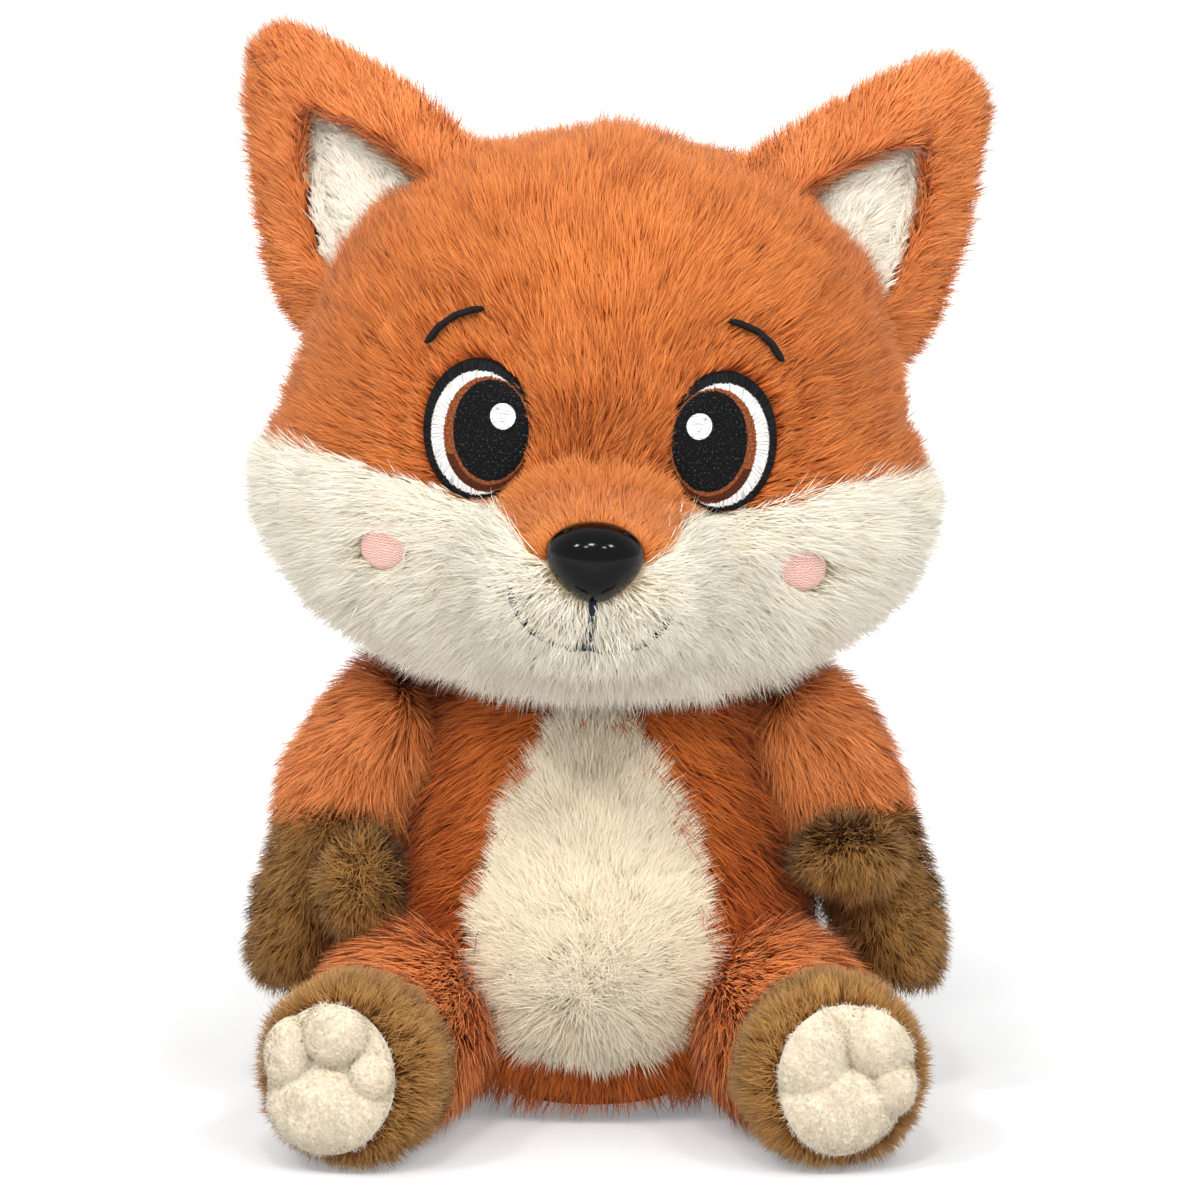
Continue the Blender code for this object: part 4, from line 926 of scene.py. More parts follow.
skin("head_skin", HEAD, "head", HEAD_FUR, ["head"], 5.8, lambda p: ~on_cheeks(p), 120, 160)
skin("face_skin", HEAD, "head", CREAM_FUR, ["face_panel"], 5.8, on_cheeks, 120, 160)
skin("muzzle_skin", MUZZLE, "head", CREAM_FUR, ["muzzle"], 3.8, lambda p: ~on_bridge(p), 70, 110)
skin("bridge_skin", MUZZLE, "head", HEAD_FUR, ["snout_bridge"], 3.4, on_bridge, 70, 110)
coat(
    "head_coat", HEAD, "head", HEAD_FUR, HEAD_PILE, 132000, head_comb, 11,
    where=not_of(on_cheeks, between_eyes, behind_muzzle, *EYE_CLEAR), length=eye_trim, avoid=EYE_CLEAR,
    tone=brow_painted_shade_and_light,
)
coat(
    "cheek_coat", HEAD, "head", CREAM_FUR, CHEEK_PILE, 62000, away_from(0, -60, 139), 12,
    where=lambda p: on_cheeks(p) * not_of(behind_muzzle, *EYE_CLEAR, *BLUSH_CLEAR)(p), length=eye_trim,
    avoid=EYE_CLEAR + BLUSH_CLEAR,
)
coat(
    "muzzle_coat", MUZZLE, "head", CREAM_FUR, SNOUT_PILE, 24000, away_from(0, -84, 138), 13,
    where=not_of(on_bridge, *NOSE_CLEAR), length=longer_behind, avoid=NOSE_CLEAR,
)
coat(
    "bridge_coat", MUZZLE, "head", BRIDGE_FUR, BRIDGE_PILE, 12000, away_from(0, -84, 130), 14,
    where=lambda p: on_bridge(p) * not_of(*NOSE_CLEAR)(p), length=longer_behind, avoid=NOSE_CLEAR,
)
coat(
    "between_eyes_coat", HEAD, "head", BRIDGE_FUR, BETWEEN_PILE, 5000, away_from(0, -70, 128), 15,
    where=lambda p: between_eyes(p) * not_of(behind_muzzle, *EYE_CLEAR)(p), avoid=EYE_CLEAR,
)


# Embroidery

def thread_map(sign):
    """The disc laid flat in its map, its left edge towards the nose on either side of the face."""
    def flat(t, a):
        return np.stack([0.5 - sign * DISC_IN_MAP * t * np.cos(a), 0.5 + DISC_IN_MAP * t * np.sin(a)], axis=1)
    return flat


def eye_material():
    """Ring, white crescent, two browns, pupil and highlight: ovals laid over each other in the flat disc.

    The ring's and crescent's threads run in and out from the middle and the others' run across.
    """
    eye = Shader("eye_embroidery", 0.55, specular=0.1)
    x, y = eye.disc()
    spokes = eye.streaks(eye.math("ARCTAN2", y, x), eye.from_middle(x, y), 34.0, 3.0)
    rows = eye.streaks(x, y, 9.0, 46.0)
    grain = eye.streaks(x, y, 24.0, 30.0)
    jitter = eye.times(eye.minus(spokes, 0.5), 0.10)

    def within(centre, half, shown, below):
        edge = eye.math("LESS_THAN", eye.plus(eye.oval(x, y, centre, half), jitter), 1.0)
        return eye.mix(edge, below, shown)

    black = eye.stops(spokes, (0.40, colour(2, 2, 3)), (0.75, colour(30, 30, 32)))
    white = eye.stops(spokes, (0.32, colour(146, 142, 140)), (0.54, colour(222, 219, 216)))
    light_brown = eye.stops(grain, (0.3, colour(84, 38, 16)), (0.7, colour(146, 80, 44)))
    dark_brown = eye.stops(grain, (0.3, colour(44, 18, 8)), (0.7, colour(84, 38, 20)))
    pupil = eye.stops(
        grain, (0.54, colour(1, 1, 2)), (0.64, colour(26, 26, 28)), (0.76, colour(84, 84, 86))
    )
    shine = eye.stops(rows, (0.36, colour(160, 158, 156)), (0.54, colour(228, 226, 224)))
    shown = within((0.07, -0.040), (0.86, 0.855), white, black)
    shown = within((0.22, -0.05), (0.775, 0.80), light_brown, shown)
    below = eye.math("LESS_THAN", y, -0.36)
    outside = eye.math("GREATER_THAN", eye.oval(x, y, (0.266, 0.016), (0.70, 0.76)), 1.0)
    inside = eye.math("LESS_THAN", eye.oval(x, y, (0.20, -0.043), (0.76, 0.79)), 1.0)
    shown = eye.mix(eye.times(eye.times(below, outside), inside), shown, dark_brown)
    shown = within((0.280, 0.012), (0.665, 0.700), pupil, shown)
    shown = within((0.480, 0.220), (0.222, 0.180), shine, shown)
    eye.show(shown)
    eye.bump(rows, 0.5, 0.0004)
    return eye.material


def satin_material(name, dark, light, across, up):
    """Satin stitches: threads side by side, darker in the gaps between them."""
    satin = Shader(name, 0.6, specular=0.1)
    threads = satin.streaks(*satin.disc(), across, up)
    satin.show(satin.stops(threads, (0.32, colour(*dark)), (0.66, colour(*light))))
    satin.bump(threads, 0.6, 0.0004)
    return satin.material


def blush_material():
    """Pink threads in close zigzag rows, with the grey-white ground showing between them."""
    blush = Shader("blush_embroidery", 0.6, specular=0.1, sheen=0.1)
    x, y = blush.disc()
    zigzag = blush.math("PINGPONG", blush.times(x, 9.0), 1.0)
    row = blush.plus(blush.times(y, 8.5), blush.times(zigzag, 0.55))
    row = blush.plus(row, blush.streaks(x, y, 5.0, 5.0, 1.4))
    gap = blush.math("PINGPONG", row, 0.5)
    threads = blush.streaks(x, y, 40.0, 8.0)
    pink = blush.stops(threads, (0.3, colour(204, 136, 124)), (0.7, colour(240, 184, 172)))
    blush.show(blush.mix(blush.span(gap, 0.08, 0.26), colour(244, 226, 212), pink))
    blush.bump(gap, 0.7, 0.0004)
    return blush.material


def stitched_dome(base, crown, threads, depth=0.10):
    """A lift that domes up from the rim with radial threads: crown (1 - r^4) + depth |sin(threads a)|."""
    def lift(u, v):
        r = np.sqrt(u * u + v * v)
        relief = depth * np.abs(np.sin(threads * np.arctan2(v, u))) * ramp(0.5, 0.8, r)
        return base + crown * (1.0 - r**4) + relief - 1.6 * ramp(0.965, 1.0, r)
    return lift


def satin_band(name, path, width, lift, relief, fabric, node, stitches):
    """A raised satin stitch band: a half-round section of this width carried along a path on the head's front.

    Its height is lift + width (0.42 sqrt(1 - c^2) + 0.07 |sin|) across c from -1 to 1, four rows to a stitch.
    """
    path = np.array(path) - np.array([0.0, NECK_CENTRE])
    length = np.concatenate([[0.0], np.cumsum(np.linalg.norm(np.diff(path, axis=0), axis=1))])
    rows = stitches * 4
    number = np.arange(rows)
    along = np.linspace(0.0, length[-1], rows)
    x, z = np.interp(along, length, path[:, 0]), np.interp(along, length, path[:, 1])
    for _ in range(8):
        x[1:-1], z[1:-1] = (x[:-2] + x[1:-1] + x[2:]) / 3, (z[:-2] + z[1:-1] + z[2:]) / 3
    way = unit(np.stack([np.gradient(x), np.gradient(z)], axis=1))
    cross = np.linspace(-1.0, 1.0, 9)
    taper = np.minimum(1.0, 0.35 + 0.65 * np.minimum(number, number[::-1]) / (rows * 0.08))
    half = width / 2 * taper[:, None]
    x = x[:, None] - way[:, 1:2] * cross * half
    z = z[:, None] + way[:, 0:1] * cross * half
    thread = np.abs(np.sin(number * np.pi / 4.0))[:, None]
    height = lift + width * (0.42 * np.sqrt(np.maximum(1 - cross**2, 0.0)) + 0.07 * thread)
    height = height - 0.8 * (np.abs(cross) > 0.99)
    points, normals = relief.raised(x.ravel(), z.ravel(), height.ravel())
    points, normals = placed(points, HEAD_PLACE), aimed(normals, HEAD_PLACE)
    uv = np.broadcast_arrays(np.linspace(0.02, 0.98, rows)[:, None], 0.5 + 0.45 * cross[None, :])
    uv = np.stack(uv, axis=-1).reshape(-1, 2)
    faces = facing_out(points, grid_faces(rows, len(cross), False), normals)
    made = mesh_piece(name, points, [faces], "head", fabric.cloth, uv)
    if node:
        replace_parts(made, node)


EYE_THREAD = Fabric("eye_thread", eye_material())
BLUSH_THREAD = Fabric("blush_thread", blush_material())
BROW_THREAD = Fabric("eye_thread", satin_material("brow_embroidery", (8, 7, 8), (40, 36, 38), 90.0, 3.0))
MOUTH_THREAD = Fabric("mouth_thread", satin_material("mouth_embroidery", (8, 12, 22), (44, 54, 74), 120.0, 3.0))
BROW = np.array([(39.6, 176.8), (37.0, 180.6), (33.4, 183.6), (29.6, 185.2), (27.0, 185.8)])
MOUTH = [
    (-18.5, 130.0), (-17.6, 126.6), (-15.6, 123.0), (-12.6, 120.0), (-8.6, 118.0), (-4.0, 117.0),
    (-0.4, 117.6), (3.6, 116.6), (7.6, 116.8), (12.0, 118.8), (15.6, 122.0), (17.8, 125.8),
]
MOUTH_DROP = [(0.1, 130.5), (0.0, 126.0), (-0.2, 121.0), (-0.2, 117.4)]


def stitched_disc(name, node, centre, half, lift, fabric, sign, rows, cols):
    disc = Patch(FACE, (centre[0], centre[1] - NECK_CENTRE), half, lift, HEAD_PLACE)
    skin(name, disc, "head", fabric, [node], rows=rows, cols=cols, uv=thread_map(sign))


for side, sign in SIDES:
    stitched_disc(
        side + "_eye_stitching", side + "_eye", EYES[side], EYE_PATCH_HALF,
        stitched_dome(-2.8, 1.3, 105), EYE_THREAD, sign, 40, 300,
    )
    stitched_disc(
        side + "_blush_stitching", side + "_blush", BLUSHES[side], BLUSH_HALF,
        stitched_dome(-1.7, 0.7, 40), BLUSH_THREAD, sign, 30, 160,
    )
    satin_band(side + "_brow_stitching", BROW * (sign, 1), 1.25, -1.3, FACE, BROW_THREAD, side + "_brow", 44)
satin_band("mouth_line", MOUTH, 1.25, -0.6, SNOUT, MOUTH_THREAD, "mouth_stitch", 90)
satin_band("mouth_drop", MOUTH_DROP, 1.5, -0.4, SNOUT, MOUTH_THREAD, None, 30)


# Nose

NOSE_HALF = (10.9, 8.4)
NOSE_OUTLINE = [(0.00, 1.06), (0.56, 0.96), (1.06, 0.42), (0.92, -0.30), (0.46, -0.92), (0.00, -1.16)]
NOSE_POINTS, NOSE_RINGS = 96, 40


def nose_material():
    nose = Shader("glossy_nose", 0.08, specular=0.15)
    haze = nose.noise(nose.place(), 420.0, 4.0)
    nose.show(nose.stops(haze, (0.35, colour(1, 1, 2)), (0.8, colour(4, 4, 5))))
    nose.show(nose.span(haze, 0.0, 1.0, 0.06, 0.14), "Roughness")
    return nose.material


def nose_button():
    """A glossy rounded triangle: rings of one outline, sized and set forward by a quarter-ellipse profile."""
    half = np.array(NOSE_OUTLINE)
    loop = np.vstack([half, (half[1:-1] * (-1, 1))[::-1]])
    knots = np.arange(NOSE_POINTS) / NOSE_POINTS * len(loop)
    cell = np.floor(knots).astype(int)
    outline = sum(w * loop[(cell + k - 1) % len(loop)] for k, w in enumerate(spline_weights(knots - cell)))
    turn = np.linspace(-0.55, np.pi / 2, NOSE_RINGS)
    size, ahead = np.cos(turn) ** 0.85, np.sin(turn)[:, None]
    size[-1] = 0.0
    size = np.where(turn < 0, 0.72 + 0.28 * np.cos(turn * 2.2), size)[:, None]
    x = outline[:, 0] * size * NOSE_HALF[0]
    z = outline[:, 1] * size * NOSE_HALF[1] + 136.6 - NECK_CENTRE + 0.9 * ahead
    points = placed(xyz(x, -78.2 - 9.6 * ahead, z).reshape(-1, 3), HEAD_PLACE)
    everything = np.vstack([points, points[:NOSE_POINTS].mean(axis=0)])
    outward = everything - points.mean(axis=0)
    backwards = np.broadcast_to(np.array([0.0, 1.0, 0.0]), everything.shape)
    groups = [
        facing_out(everything, grid_faces(NOSE_RINGS, NOSE_POINTS, True), outward),
        facing_out(everything, fan_faces(np.arange(NOSE_POINTS), len(points)), backwards),
    ]
    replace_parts(mesh_piece("nose_button", everything, groups, "head", nose_material()), "nose")


nose_button()


# Ears

EAR_ROOT = (39, 4, 178)
EAR_RINGS = [
    (0.00, 1.05, 1.05, 0.00),
    (0.28, 1.00, 1.08, -0.05),
    (0.52, 0.84, 1.00, -0.10),
    (0.76, 0.60, 0.90, 0.05),
    (0.93, 0.40, 0.78, 0.28),
    (1.02, 0.20, 0.40, 0.36),
]
EAR_HEIGHT, EAR_HALF_WIDTH, EAR_HALF_DEPTH = 67, 29, 8.5
CUP_HEIGHTS, CUP_HALF_WIDTHS, CUP_DEPTH = (2, 10, 20, 30, 40, 50), (4, 14, 15.5, 12.5, 8, 0.5), 6.0
EAR_PILE = Pile(8.5, lean=(42, 74), width=0.27, inset=4.2, pull=(0.15, 0.3))
LINING_PILE = Pile(6.0, lean=(36, 66), width=0.24, inset=1.8, pull=(0.2, 0.4))


def cup_share(own):
    """1 in the middle of the ear's cup and 0 on its rim, from the ear's own x and z."""
    half = np.interp(own[:, 2], CUP_HEIGHTS, CUP_HALF_WIDTHS)
    return (1.0 - ramp(0.62, 1.12, np.abs(own[:, 0]) / half)) * (1.0 - ramp(48, 52, own[:, 2]))


def cupped(points, middle):
    """The ear's front pressed in by its cup."""
    depth = cup_share(points) * CUP_DEPTH * (points[:, 1] < middle[:, 1])
    return points + xyz(0.0, depth, 0.0)


def clear_of_head(points):
    own = HEAD.back(points) - np.array([0.0, 5.0, 160 - NECK_CENTRE])
    return ((own / np.array([60, 50, 53])) ** 2).sum(axis=1) > 1.0


def ear(side, sign):
    body = side + "_ear"
    root = moved(sign * EAR_ROOT[0], EAR_ROOT[1], EAR_ROOT[2] - NECK_CENTRE)
    place = HEAD_PLACE @ root @ turned("Y", sign * 32.0) @ turned("Z", sign * 14.0)
    rings = level_rings(EAR_RINGS, 0.0, EAR_HEIGHT, EAR_HALF_WIDTH, EAR_HALF_DEPTH)
    leaf = Form(*rings, place=place, shape=cupped)

    def in_cup(points):
        own = leaf.back(points)
        inner = cup_share(own) > 0.45 + wavy(points, 5, 9, 0.12, axis=1)
        return inner & (own[:, 1] < 3) & (own[:, 2] > 8) & (own[:, 2] < 51)

    def up_the_ear(points):
        return unit(aimed((leaf.back(points) + xyz(0.0, 0.0, 2.0)) * (1, 0, 1), leaf.place))

    skin(body + "_skin", leaf, body, LIT_EAR_FUR, [body], 4.4, lambda p: ~in_cup(p), 80, 120)
    skin(body + "_cup", leaf, body, LINING_FUR, [body + "_lining"], 1.9, in_cup, 80, 120)
    coat(
        body + "_coat", leaf, body, LIT_EAR_FUR, EAR_PILE, 25000, up_the_ear, 21 + sign,
        where=lambda p: (~in_cup(p) & clear_of_head(p)).astype(float),
    )
    coat(
        body + "_cup_coat", leaf, body, LINING_FUR, LINING_PILE, 7500, up_the_ear, 31 + sign,
        where=share_of(in_cup),
    )


for side, sign in SIDES:
    ear(side, sign)


# Torso, belly and neck

TORSO_RINGS = [
    (-0.01, 0.46, 0.36, 0.12),
    (0.03, 0.70, 0.58, 0.08),
    (0.10, 0.94, 0.82, 0.03),
    (0.24, 1.13, 1.00, 0.01),
    (0.45, 1.17, 1.00, 0.02),
    (0.66, 1.01, 0.90, 0.02),
    (0.84, 0.90, 0.83, 0.00),
    (0.96, 0.84, 0.77, 0.00),
    (1.06, 0.68, 0.62, 0.00),
]
TORSO_HEIGHT, TORSO_HALF_WIDTH, TORSO_HALF_DEPTH = 96, 44, 40
TORSO = Form(*level_rings(TORSO_RINGS, 0.0, TORSO_HEIGHT, TORSO_HALF_WIDTH, TORSO_HALF_DEPTH))
BELLY_HEIGHTS = (18, 19.5, 25, 34, 47, 64, 80, 90, 99)
BELLY_HALF_WIDTHS = (0, 13.5, 19.5, 23, 24.4, 20.4, 13, 8.2, 6)
WHORL = np.array([-2.0, -40.0, 34.0])
BODY_PILE = Pile(10.5, lean=(40, 75), width=0.29, inset=4.6, pull=(0.2, 0.35))
BELLY_PILE = Pile(8.5, lean=(28, 60), width=0.27, inset=5.0, pull=(0.25, 0.4), tuft=(7.0, 2.2), mess=0.34)


def on_belly(points):
    x, y, z = points.T
    edge = np.interp(z, BELLY_HEIGHTS, BELLY_HALF_WIDTHS) + wavy(points, 6, 4, 1.0)
    return (np.abs(x) < edge) & (y < 0) & (z > 16)


def seat_zone(points):
    return points[:, 2] < 3 + 5 * (points[:, 1] < -12)


def belly_comb(points):
    """Outwards from a whorl low on the belly, where the pile stands straight out."""
    return (points - WHORL) / 24


def whorl_painted_light(points):
    """Painted light: lighter fibres, roots and all, in the whorl, where the pile stands straight out."""
    return 0.30 * hill(np.linalg.norm(points - WHORL, axis=1), 9)


def body_comb(points):
    """Down and outwards, more so on the chest, so that the pile parts from the belly panel."""
    x, y, z = points.T
    outwards = 0.45 + 0.55 * ramp(45, 75, z) * (y < 0)
    return xyz(outwards * np.sign(x) * ramp(0, 12, np.abs(x)), 0.1, -1.0)


def painted_shade_under_arms(points):
    """Painted shade: darker at the sides of the chest, under the arms, and lighter low on the front."""
    return 0.06 - 0.42 * ramp(20, 32, np.abs(points[:, 0])) * ramp(30, 50, points[:, 2])


skin("torso_skin", TORSO, "body", SHADED_BODY_FUR, ["torso"], 4.8, lambda p: ~on_belly(p), 90, 140)
skin("belly_skin", TORSO, "body", BELLY_FUR, ["belly_panel"], 5.4, on_belly, 90, 140)
coat(
    "torso_coat", TORSO, "body", SHADED_BODY_FUR, BODY_PILE, 42000, body_comb, 41,
    where=not_of(on_belly, seat_zone), tone=painted_shade_under_arms,
)
coat(
    "belly_coat", TORSO, "body", BELLY_FUR, BELLY_PILE, 42000, belly_comb, 42,
    where=share_of(on_belly), tone=whorl_painted_light,
)
NECK_LOW, NECK_HEIGHT, NECK_RADIUS, NECK_TAPER = 90, 17, 31, 21 / 31
NECK_RINGS = [(t, 1 - NECK_TAPER * t * t, 1 - NECK_TAPER * t * t, 0.0) for t in np.linspace(0.0, 1.0, 7)]
NECK = Form(*level_rings(NECK_RINGS, NECK_LOW, NECK_HEIGHT, NECK_RADIUS, NECK_RADIUS))
skin("neck_skin", NECK, "neck", SHADED_BODY_FUR, ["neck"], 2.0, rows=30, cols=72)
coat("neck_coat", NECK, "neck", SHADED_BODY_FUR, Pile(6.0, inset=2.0), 4000, body_comb, 43)


# Arms and paws

ARM_PILE = Pile(9.5, lean=(44, 76), width=0.28, inset=4.2, pull=(0.2, 0.35))
PAW_PILE = Pile(
    5.5, lean=(22, 56), width=0.25, inset=3.8, pull=(0.3, 0.55), tuft=(6.0, 2.2), mess=0.4, sway=0.6
)
ARM_POINTS = np.array([
    (-0.10, -0.30, 0.00, 0.84),
    (0.24, -0.16, 0.00, 1.06),
    (0.62, 0.12, 0.06, 1.08),
    (0.86, 0.36, 0.20, 1.02),
    (0.96, 0.58, 0.34, 0.92),
])
ARM_REACH, ARM_DROP, ARM_RADIUS = 21.5, 39.0, 16.5
PAW_RINGS = np.array([
    (-0.04, 0.54, 0.62, -0.44),
    (0.10, 0.76, 0.92, -0.42),
    (0.34, 0.84, 1.02, -0.34),
    (0.60, 0.88, 1.00, -0.18),
    (0.84, 0.92, 1.02, 0.06),
    (1.00, 0.92, 1.00, 0.14),
    (1.12, 0.76, 0.84, 0.16),
])
PAW_LOW, PAW_HEIGHT, PAW_HALF_WIDTH, PAW_HALF_DEPTH, PAW_AHEAD = 27.5, 38.5, 16.75, 15.0, 7.0
THUMB_AHEAD, THUMB_HALF_DEPTH = 20.0, 12.0
# the hand's distance from the middle, then the thumb's and its height, half width and half height
HANDS = {"left": (60.8, 57.0, 59.5, 13.5, 10.5), "right": (59.0, 52.0, 52.0, 11.0, 15.0)}
TORSO_HEIGHTS, TORSO_RADII = (0, 23, 43, 63, 80, 92), (36, 43.5, 44, 40, 36, 33)


def inside_body(points):
    """Whether a point is well inside the torso, where no pile shows."""
    x, y, z = points.T
    return x**2 + y**2 < (np.interp(z, TORSO_HEIGHTS, TORSO_RADII) - 5) ** 2


def arm(side, sign):
    body = side + "_arm"
    hand_x, thumb_x, thumb_z, thumb_wide, thumb_tall = HANDS[side]
    out, down, ahead, size = ARM_POINTS.T
    shoulder = JOINT_PLACES[side + "_arm_lift"]
    line = shoulder + xyz(sign * out * ARM_REACH, -ahead * ARM_REACH, -down * ARM_DROP)
    sleeve = Form(*spine_rings(line, size * ARM_RADIUS, np.array([0.0, 1.0, 0.0])))
    up, wide, deep, inward = PAW_RINGS.T
    paw = Form(
        xyz(sign * (hand_x - inward * PAW_HALF_WIDTH), -PAW_AHEAD, PAW_LOW + up * PAW_HEIGHT),
        xyz(wide * PAW_HALF_WIDTH, 0.0, 0.0), xyz(0.0, deep * PAW_HALF_DEPTH, 0.0),
    )
    middle = np.array([sign * thumb_x, -THUMB_AHEAD, thumb_z])
    ball = np.sin(np.linspace(-1.25, 1.25, 7))
    wide = np.sqrt(1 - ball**2)
    thumb = Form(
        middle + xyz(0.0, 0.0, ball * thumb_tall),
        xyz(wide * thumb_wide, 0.0, 0.0), xyz(0.0, wide * THUMB_HALF_DEPTH, 0.0),
    )

    def down_the_arm(points):
        outwards = (0.25 + 0.9 * ramp(82, 96, points[:, 2])) * ramp(38, 45, np.abs(points[:, 0])) - 0.1
        return xyz(sign * outwards, -0.05, -1.0)

    def down_the_paw(points):
        return np.broadcast_to(np.array([sign * 0.4, -0.2, -1.0]), points.shape)

    def thumb_comb(points):
        """Away from the thumb's middle, and down."""
        return (points - middle - xyz(0, 0, 3)) / 12 + np.array([0.0, 0.0, -0.35])

    def crease_shade(points):
        """Painted shade: the hand's pile is darker in the crease round the thumb, and a little darker all over.
        """
        off = np.linalg.norm((points - middle) / np.array([thumb_wide, 14.0, thumb_tall]), axis=1)
        return -0.10 - 0.30 * (1.0 - ramp(1.02, 1.40, off))

    skin(side + "_arm_skin", sleeve, body, LIT_LIMB_FUR, [side + "_arm"], 4.4, rows=56, cols=72)
    skin(side + "_paw_skin", paw, body, BROWN_FUR, [side + "_paw"], 3.8, rows=50, cols=72)
    skin(side + "_thumb_skin", thumb, body, BROWN_FUR, [side + "_thumb"], 3.6, rows=30, cols=40)
    coat(
        side + "_arm_coat", sleeve, body, LIT_LIMB_FUR, ARM_PILE, 16000, down_the_arm, 51 + sign,
        where=lambda p: not_of(inside_body)(p) * ramp(60, 63, p[:, 2]),
    )
    coat(
        side + "_paw_coat", paw, body, BROWN_FUR, PAW_PILE, 14000, down_the_paw, 54 + sign,
        where=not_of(inside_body), tone=crease_shade,
    )
    coat(
        side + "_thumb_coat", thumb, body, BROWN_FUR, PAW_PILE, 5500, thumb_comb, 57 + sign,
        where=not_of(inside_body),
    )


for side, sign in SIDES:
    arm(side, sign)


# Legs, feet and soles

LEG_PILE = Pile(9.0, lean=(48, 77), width=0.28, inset=4.0, pull=(0.15, 0.3), mess=0.14, sway=0.2)
FOOT_PILE = Pile(
    5.5, lean=(24, 58), width=0.25, inset=4.2, pull=(0.3, 0.5), tuft=(6.0, 2.2), mess=0.35, sway=0.5
)
NAP = Pile(1.4, lean=(20, 55), width=0.14, inset=0.4, pull=(0.2, 0.4), tuft=(2.2, 1.2), mess=0.6, sway=0.8)
LEG_STATIONS = np.array([(-0.05, 1.00), (0.28, 1.12), (0.62, 1.10), (0.90, 1.04), (1.15, 0.92)])
LEG_RADIUS = 19.2
FOOT_RINGS = np.array([
    (-0.56, 0.60),
    (-0.34, 0.96),
    (0.02, 1.06),
    (0.34, 1.00),
    (0.50, 0.80),
])
FOOT_DEPTH, FOOT_HALF_WIDTH, FOOT_HALF_HEIGHT = 30, 20.75, 21.25
FOOT_ASIDE, FOOT_AHEAD, FOOT_UP = 51.5, 60.0, 20.75
ANKLE_ASIDE, ANKLE_AHEAD, ANKLE_UP = 15.0, 34.0, 1.5
THIGH_ASIDE, THIGH_UP = 4.0, 8.0
SOLE_HALF, SOLE_COVER, SOLE_DOWN = (15.4, 17.0), (14.6, 16.2), -1.0
# how far each foot turns out in degrees, and how far its sole sits aside
FEET = {"left": (7.0, 2.0), "right": (13.0, 3.5)}
# lobes of each sole: across and up to the middle, half width and half height, as shares of the sole, and crown
LOBES = {
    "left": [
        (0.52, 0.50, 0.57, 0.53, 4.2), (-0.50, 0.32, 0.55, 0.68, 4.0), (0.70, -0.10, 0.38, 0.42, 3.4),
        (-0.18, -0.42, 0.86, 0.62, 4.2),
    ],
    "right": [
        (0.10, 0.60, 0.50, 0.44, 4.2), (0.66, 0.06, 0.34, 0.32, 3.4), (-0.62, 0.32, 0.38, 0.52, 3.8),
        (-0.04, -0.44, 0.92, 0.60, 4.2),
    ],
}


def sole_lift(lobes):
    """The highest of the domes, which meet in creases, over a low pad that sinks below the foot at the rim."""
    def lift(u, v):
        rim = np.sqrt(u**2 + v**2)
        height = -1.4 - ramp(0.90, 1.0, rim)
        for across, up, half_x, half_y, crown in lobes:
            off = ((u - across) / half_x) ** 2 + ((v - up) / half_y) ** 2
            height = np.maximum(height, (crown + 0.8) * np.sqrt(np.maximum(1 - off, 0.0)) - 2.4)
        return np.where(rim > 0.995, -2.4, height)
    return lift


def tangled(points):
    return unit(drift(points, 3, 77) + np.array([0.2, 0.0, -0.3]))


def leg(side, sign):
    body = side + "_leg"
    spin, sole_aside = FEET[side]
    sole_x = sign * sole_aside
    share, size = LEG_STATIONS.T
    share = share[:, None]
    raised = np.array([sign * THIGH_ASIDE, 0.0, THIGH_UP]) * (1.0 - ramp(0.1, 0.8, share))
    ankle = np.array([sign * ANKLE_ASIDE, -ANKLE_AHEAD, ANKLE_UP])
    line = JOINT_PLACES[side + "_leg_lift"] + ankle * share + raised
    thigh = Form(*spine_rings(line, size * LEG_RADIUS, np.array([0.0, 0.0, 1.0])))
    place = moved(sign * FOOT_ASIDE, -FOOT_AHEAD, FOOT_UP) @ turned("Z", sign * spin) @ turned("X", -6.0)
    deep, wide = FOOT_RINGS.T
    foot = Form(
        *upright_rings(deep * FOOT_DEPTH, wide * FOOT_HALF_WIDTH, wide * FOOT_HALF_HEIGHT, 0.0), place=place
    )
    sole = Patch(Relief(foot), (sole_x, SOLE_DOWN), SOLE_HALF, sole_lift(LOBES[side]), place)

    def on_sole(points):
        x, y, z = foot.back(points).T
        return in_oval(x, z, (sole_x, SOLE_DOWN), SOLE_COVER) & (y < 0)

    def foot_comb(points):
        """Outwards from the sole and back towards the ankle."""
        x, _, z = foot.back(points).T
        return unit(aimed(xyz(x - sole_x, 9.0, z), place))

    def down_the_leg(points):
        return np.broadcast_to(np.array([sign * 0.8, -0.3, -0.55]), points.shape)

    def above_foot(points):
        return (foot.back(points)[:, 1] > -12) * not_of(inside_body)(points)

    toes = [f"{side}_toe_{which}" for which in ("inner", "middle", "outer")]
    skin(side + "_leg_skin", thigh, body, LIT_LIMB_FUR, [side + "_leg"], 4.6, rows=50, cols=72)
    skin(side + "_foot_skin", foot, body, BROWN_FUR, [side + "_foot"], 4.2, rows=60, cols=90)
    skin(side + "_sole_plush", sole, body, SOLE_PLUSH, [side + "_sole", *toes], rows=64, cols=120)
    coat(side + "_leg_coat", thigh, body, LIT_LIMB_FUR, LEG_PILE, 13000, down_the_leg, 61 + sign, where=above_foot)
    coat(
        side + "_foot_coat", foot, body, BROWN_FUR, FOOT_PILE, 15500, foot_comb, 64 + sign,
        where=not_of(on_sole),
    )
    coat(side + "_sole_coat", sole, body, SOLE_PLUSH, NAP, 9000, tangled, 67 + sign)


for side, sign in SIDES:
    leg(side, sign)


# Tail

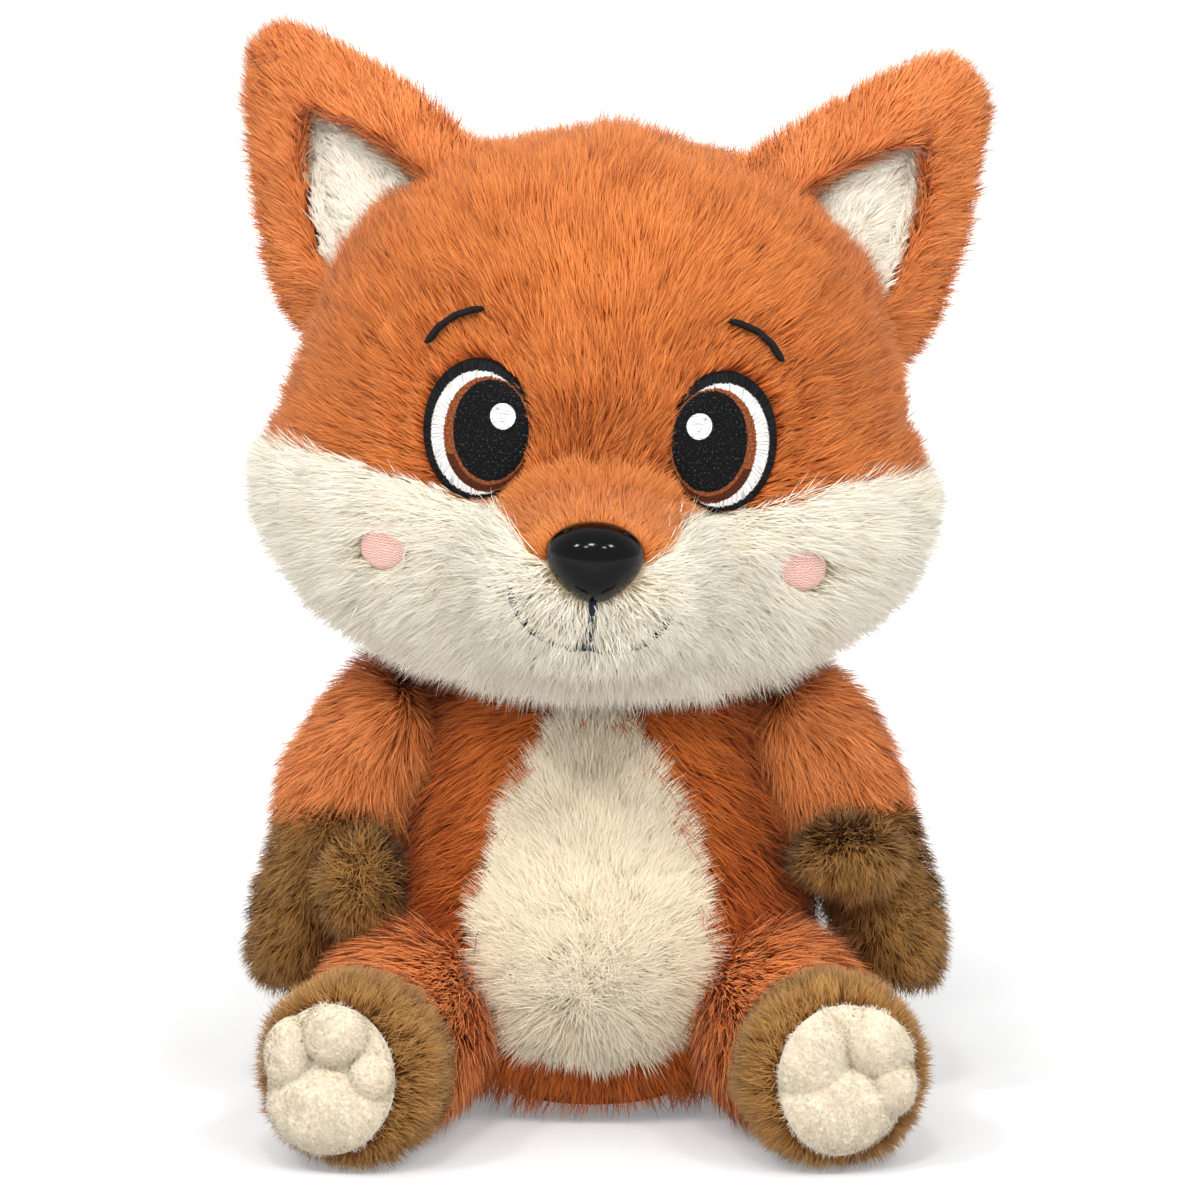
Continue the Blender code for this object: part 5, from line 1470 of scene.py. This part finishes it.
TAIL_POINTS = np.array([
    (-0.10, 0.00, 0.48),
    (0.22, 0.00, 0.66),
    (0.66, 0.08, 0.98),
    (1.00, 0.36, 1.10),
    (1.06, 0.70, 1.06),
    (0.98, 1.00, 0.74),
    (0.92, 1.16, 0.26),
])
TAIL_ROOT = JOINT_PLACES["tail_wag"]
TAIL_REACH, TAIL_HEIGHT, TAIL_RADIUS = 36, 56, 15
TAIL_SPLIT = TAIL_ROOT[2] + 0.66 * TAIL_HEIGHT
TAIL_PILE = Pile(11.0, lean=(34, 70), width=0.32, inset=5.8)
back, up, size = TAIL_POINTS.T
tail_line = TAIL_ROOT + xyz(0.0, back * TAIL_REACH, up * TAIL_HEIGHT)
TAIL = Form(*spine_rings(tail_line, size * TAIL_RADIUS, np.array([1.0, 0.0, 0.0])))


def on_tip(points):
    return points[:, 2] > TAIL_SPLIT + wavy(points, 6, 3, 1.5)


def up_the_tail(points):
    """Along the tail's own line, from its root to its tip."""
    share = ramp(TAIL_SPLIT - 40, TAIL_SPLIT, points[:, 2])[:, None]
    return np.array([0.0, 1.0, 0.15]) * (1 - share) + np.array([0.0, -0.05, 1.0]) * share


skin("tail_skin", TAIL, "tail", SHADED_BODY_FUR, ["tail"], 5.8, lambda p: ~on_tip(p), 60, 72)
skin("tail_tip_skin", TAIL, "tail", CREAM_FUR, ["tail_tip"], 5.8, on_tip, 60, 72)
coat("tail_coat", TAIL, "tail", SHADED_BODY_FUR, TAIL_PILE, 13500, up_the_tail, 71, where=not_of(on_tip))
coat("tail_tip_coat", TAIL, "tail", CREAM_FUR, TAIL_PILE, 8500, up_the_tail, 72, where=share_of(on_tip))


# Seat, bead bag and washer

def woven_material(name, dark, light, pitch):
    """Plain weave: two crossing sets of threads over Object coordinates, one over the other by turns."""
    weave = Shader(name, 0.85, specular=0.15, sheen=0.15)
    split = weave.add("SeparateXYZ", {0: weave.place()}).outputs
    warp, weft = (weave.math("SINE", weave.times(split[axis], 2 * math.pi / (pitch * MM))) for axis in "XY")
    cloth = weave.math("MULTIPLY_ADD", weave.times(warp, weft), 0.5, 0.5)
    weave.show(weave.stops(cloth, (0.0, colour(*dark)), (1.0, colour(*light))))
    weave.bump(cloth, 0.5, 0.0003)
    return weave.material


def washer_material():
    washer = Shader("washer_plastic", 0.45, specular=0.4)
    mottle = washer.noise(washer.place(), 300.0)
    washer.show(washer.stops(mottle, (0.3, colour(226, 226, 224)), (0.7, colour(240, 240, 238))))
    return washer.material


SEAT_CLOTH = Fabric("body_fur", woven_material("seat_weave", (132, 58, 24), (186, 92, 46), 0.9))
BAG_CLOTH = Fabric("bag_cloth", woven_material("bag_weave", (188, 180, 164), (226, 220, 206), 0.7))
SEAT_HALF, SEAT_LOW, SEAT_HIGH = (18.0, 14.5), 0.1, 2.1
BAG_RADIUS, BAG_LOW, BAG_HEIGHT = 18, 3, 24

size = np.array([0.90, 1.0, 1.0, 0.90])
SEAT = Form(
    xyz(0.0, 0.0, np.linspace(SEAT_LOW, SEAT_HIGH, 4)),
    xyz(size * SEAT_HALF[0], 0.0, 0.0), xyz(0.0, size * SEAT_HALF[1], 0.0),
)
skin("seat_cloth", SEAT, "body", SEAT_CLOTH, ["seat_panel"], rows=20, cols=90)
out, up = np.array([(0.78, 0.02), (0.94, 0.16), (1.00, 0.42), (0.96, 0.64), (0.78, 0.86), (0.45, 0.97)]).T
BAG = Form(
    xyz(0.0, 0.0, BAG_LOW + up * BAG_HEIGHT), xyz(out * BAG_RADIUS, 0.0, 0.0), xyz(0.0, out * BAG_RADIUS, 0.0)
)
skin("bead_bag", BAG, "body", BAG_CLOTH, ["pellet_bag"], rows=30, cols=72)
frame["nodes"]["nose_washer"].material_slots[0].material = washer_material()
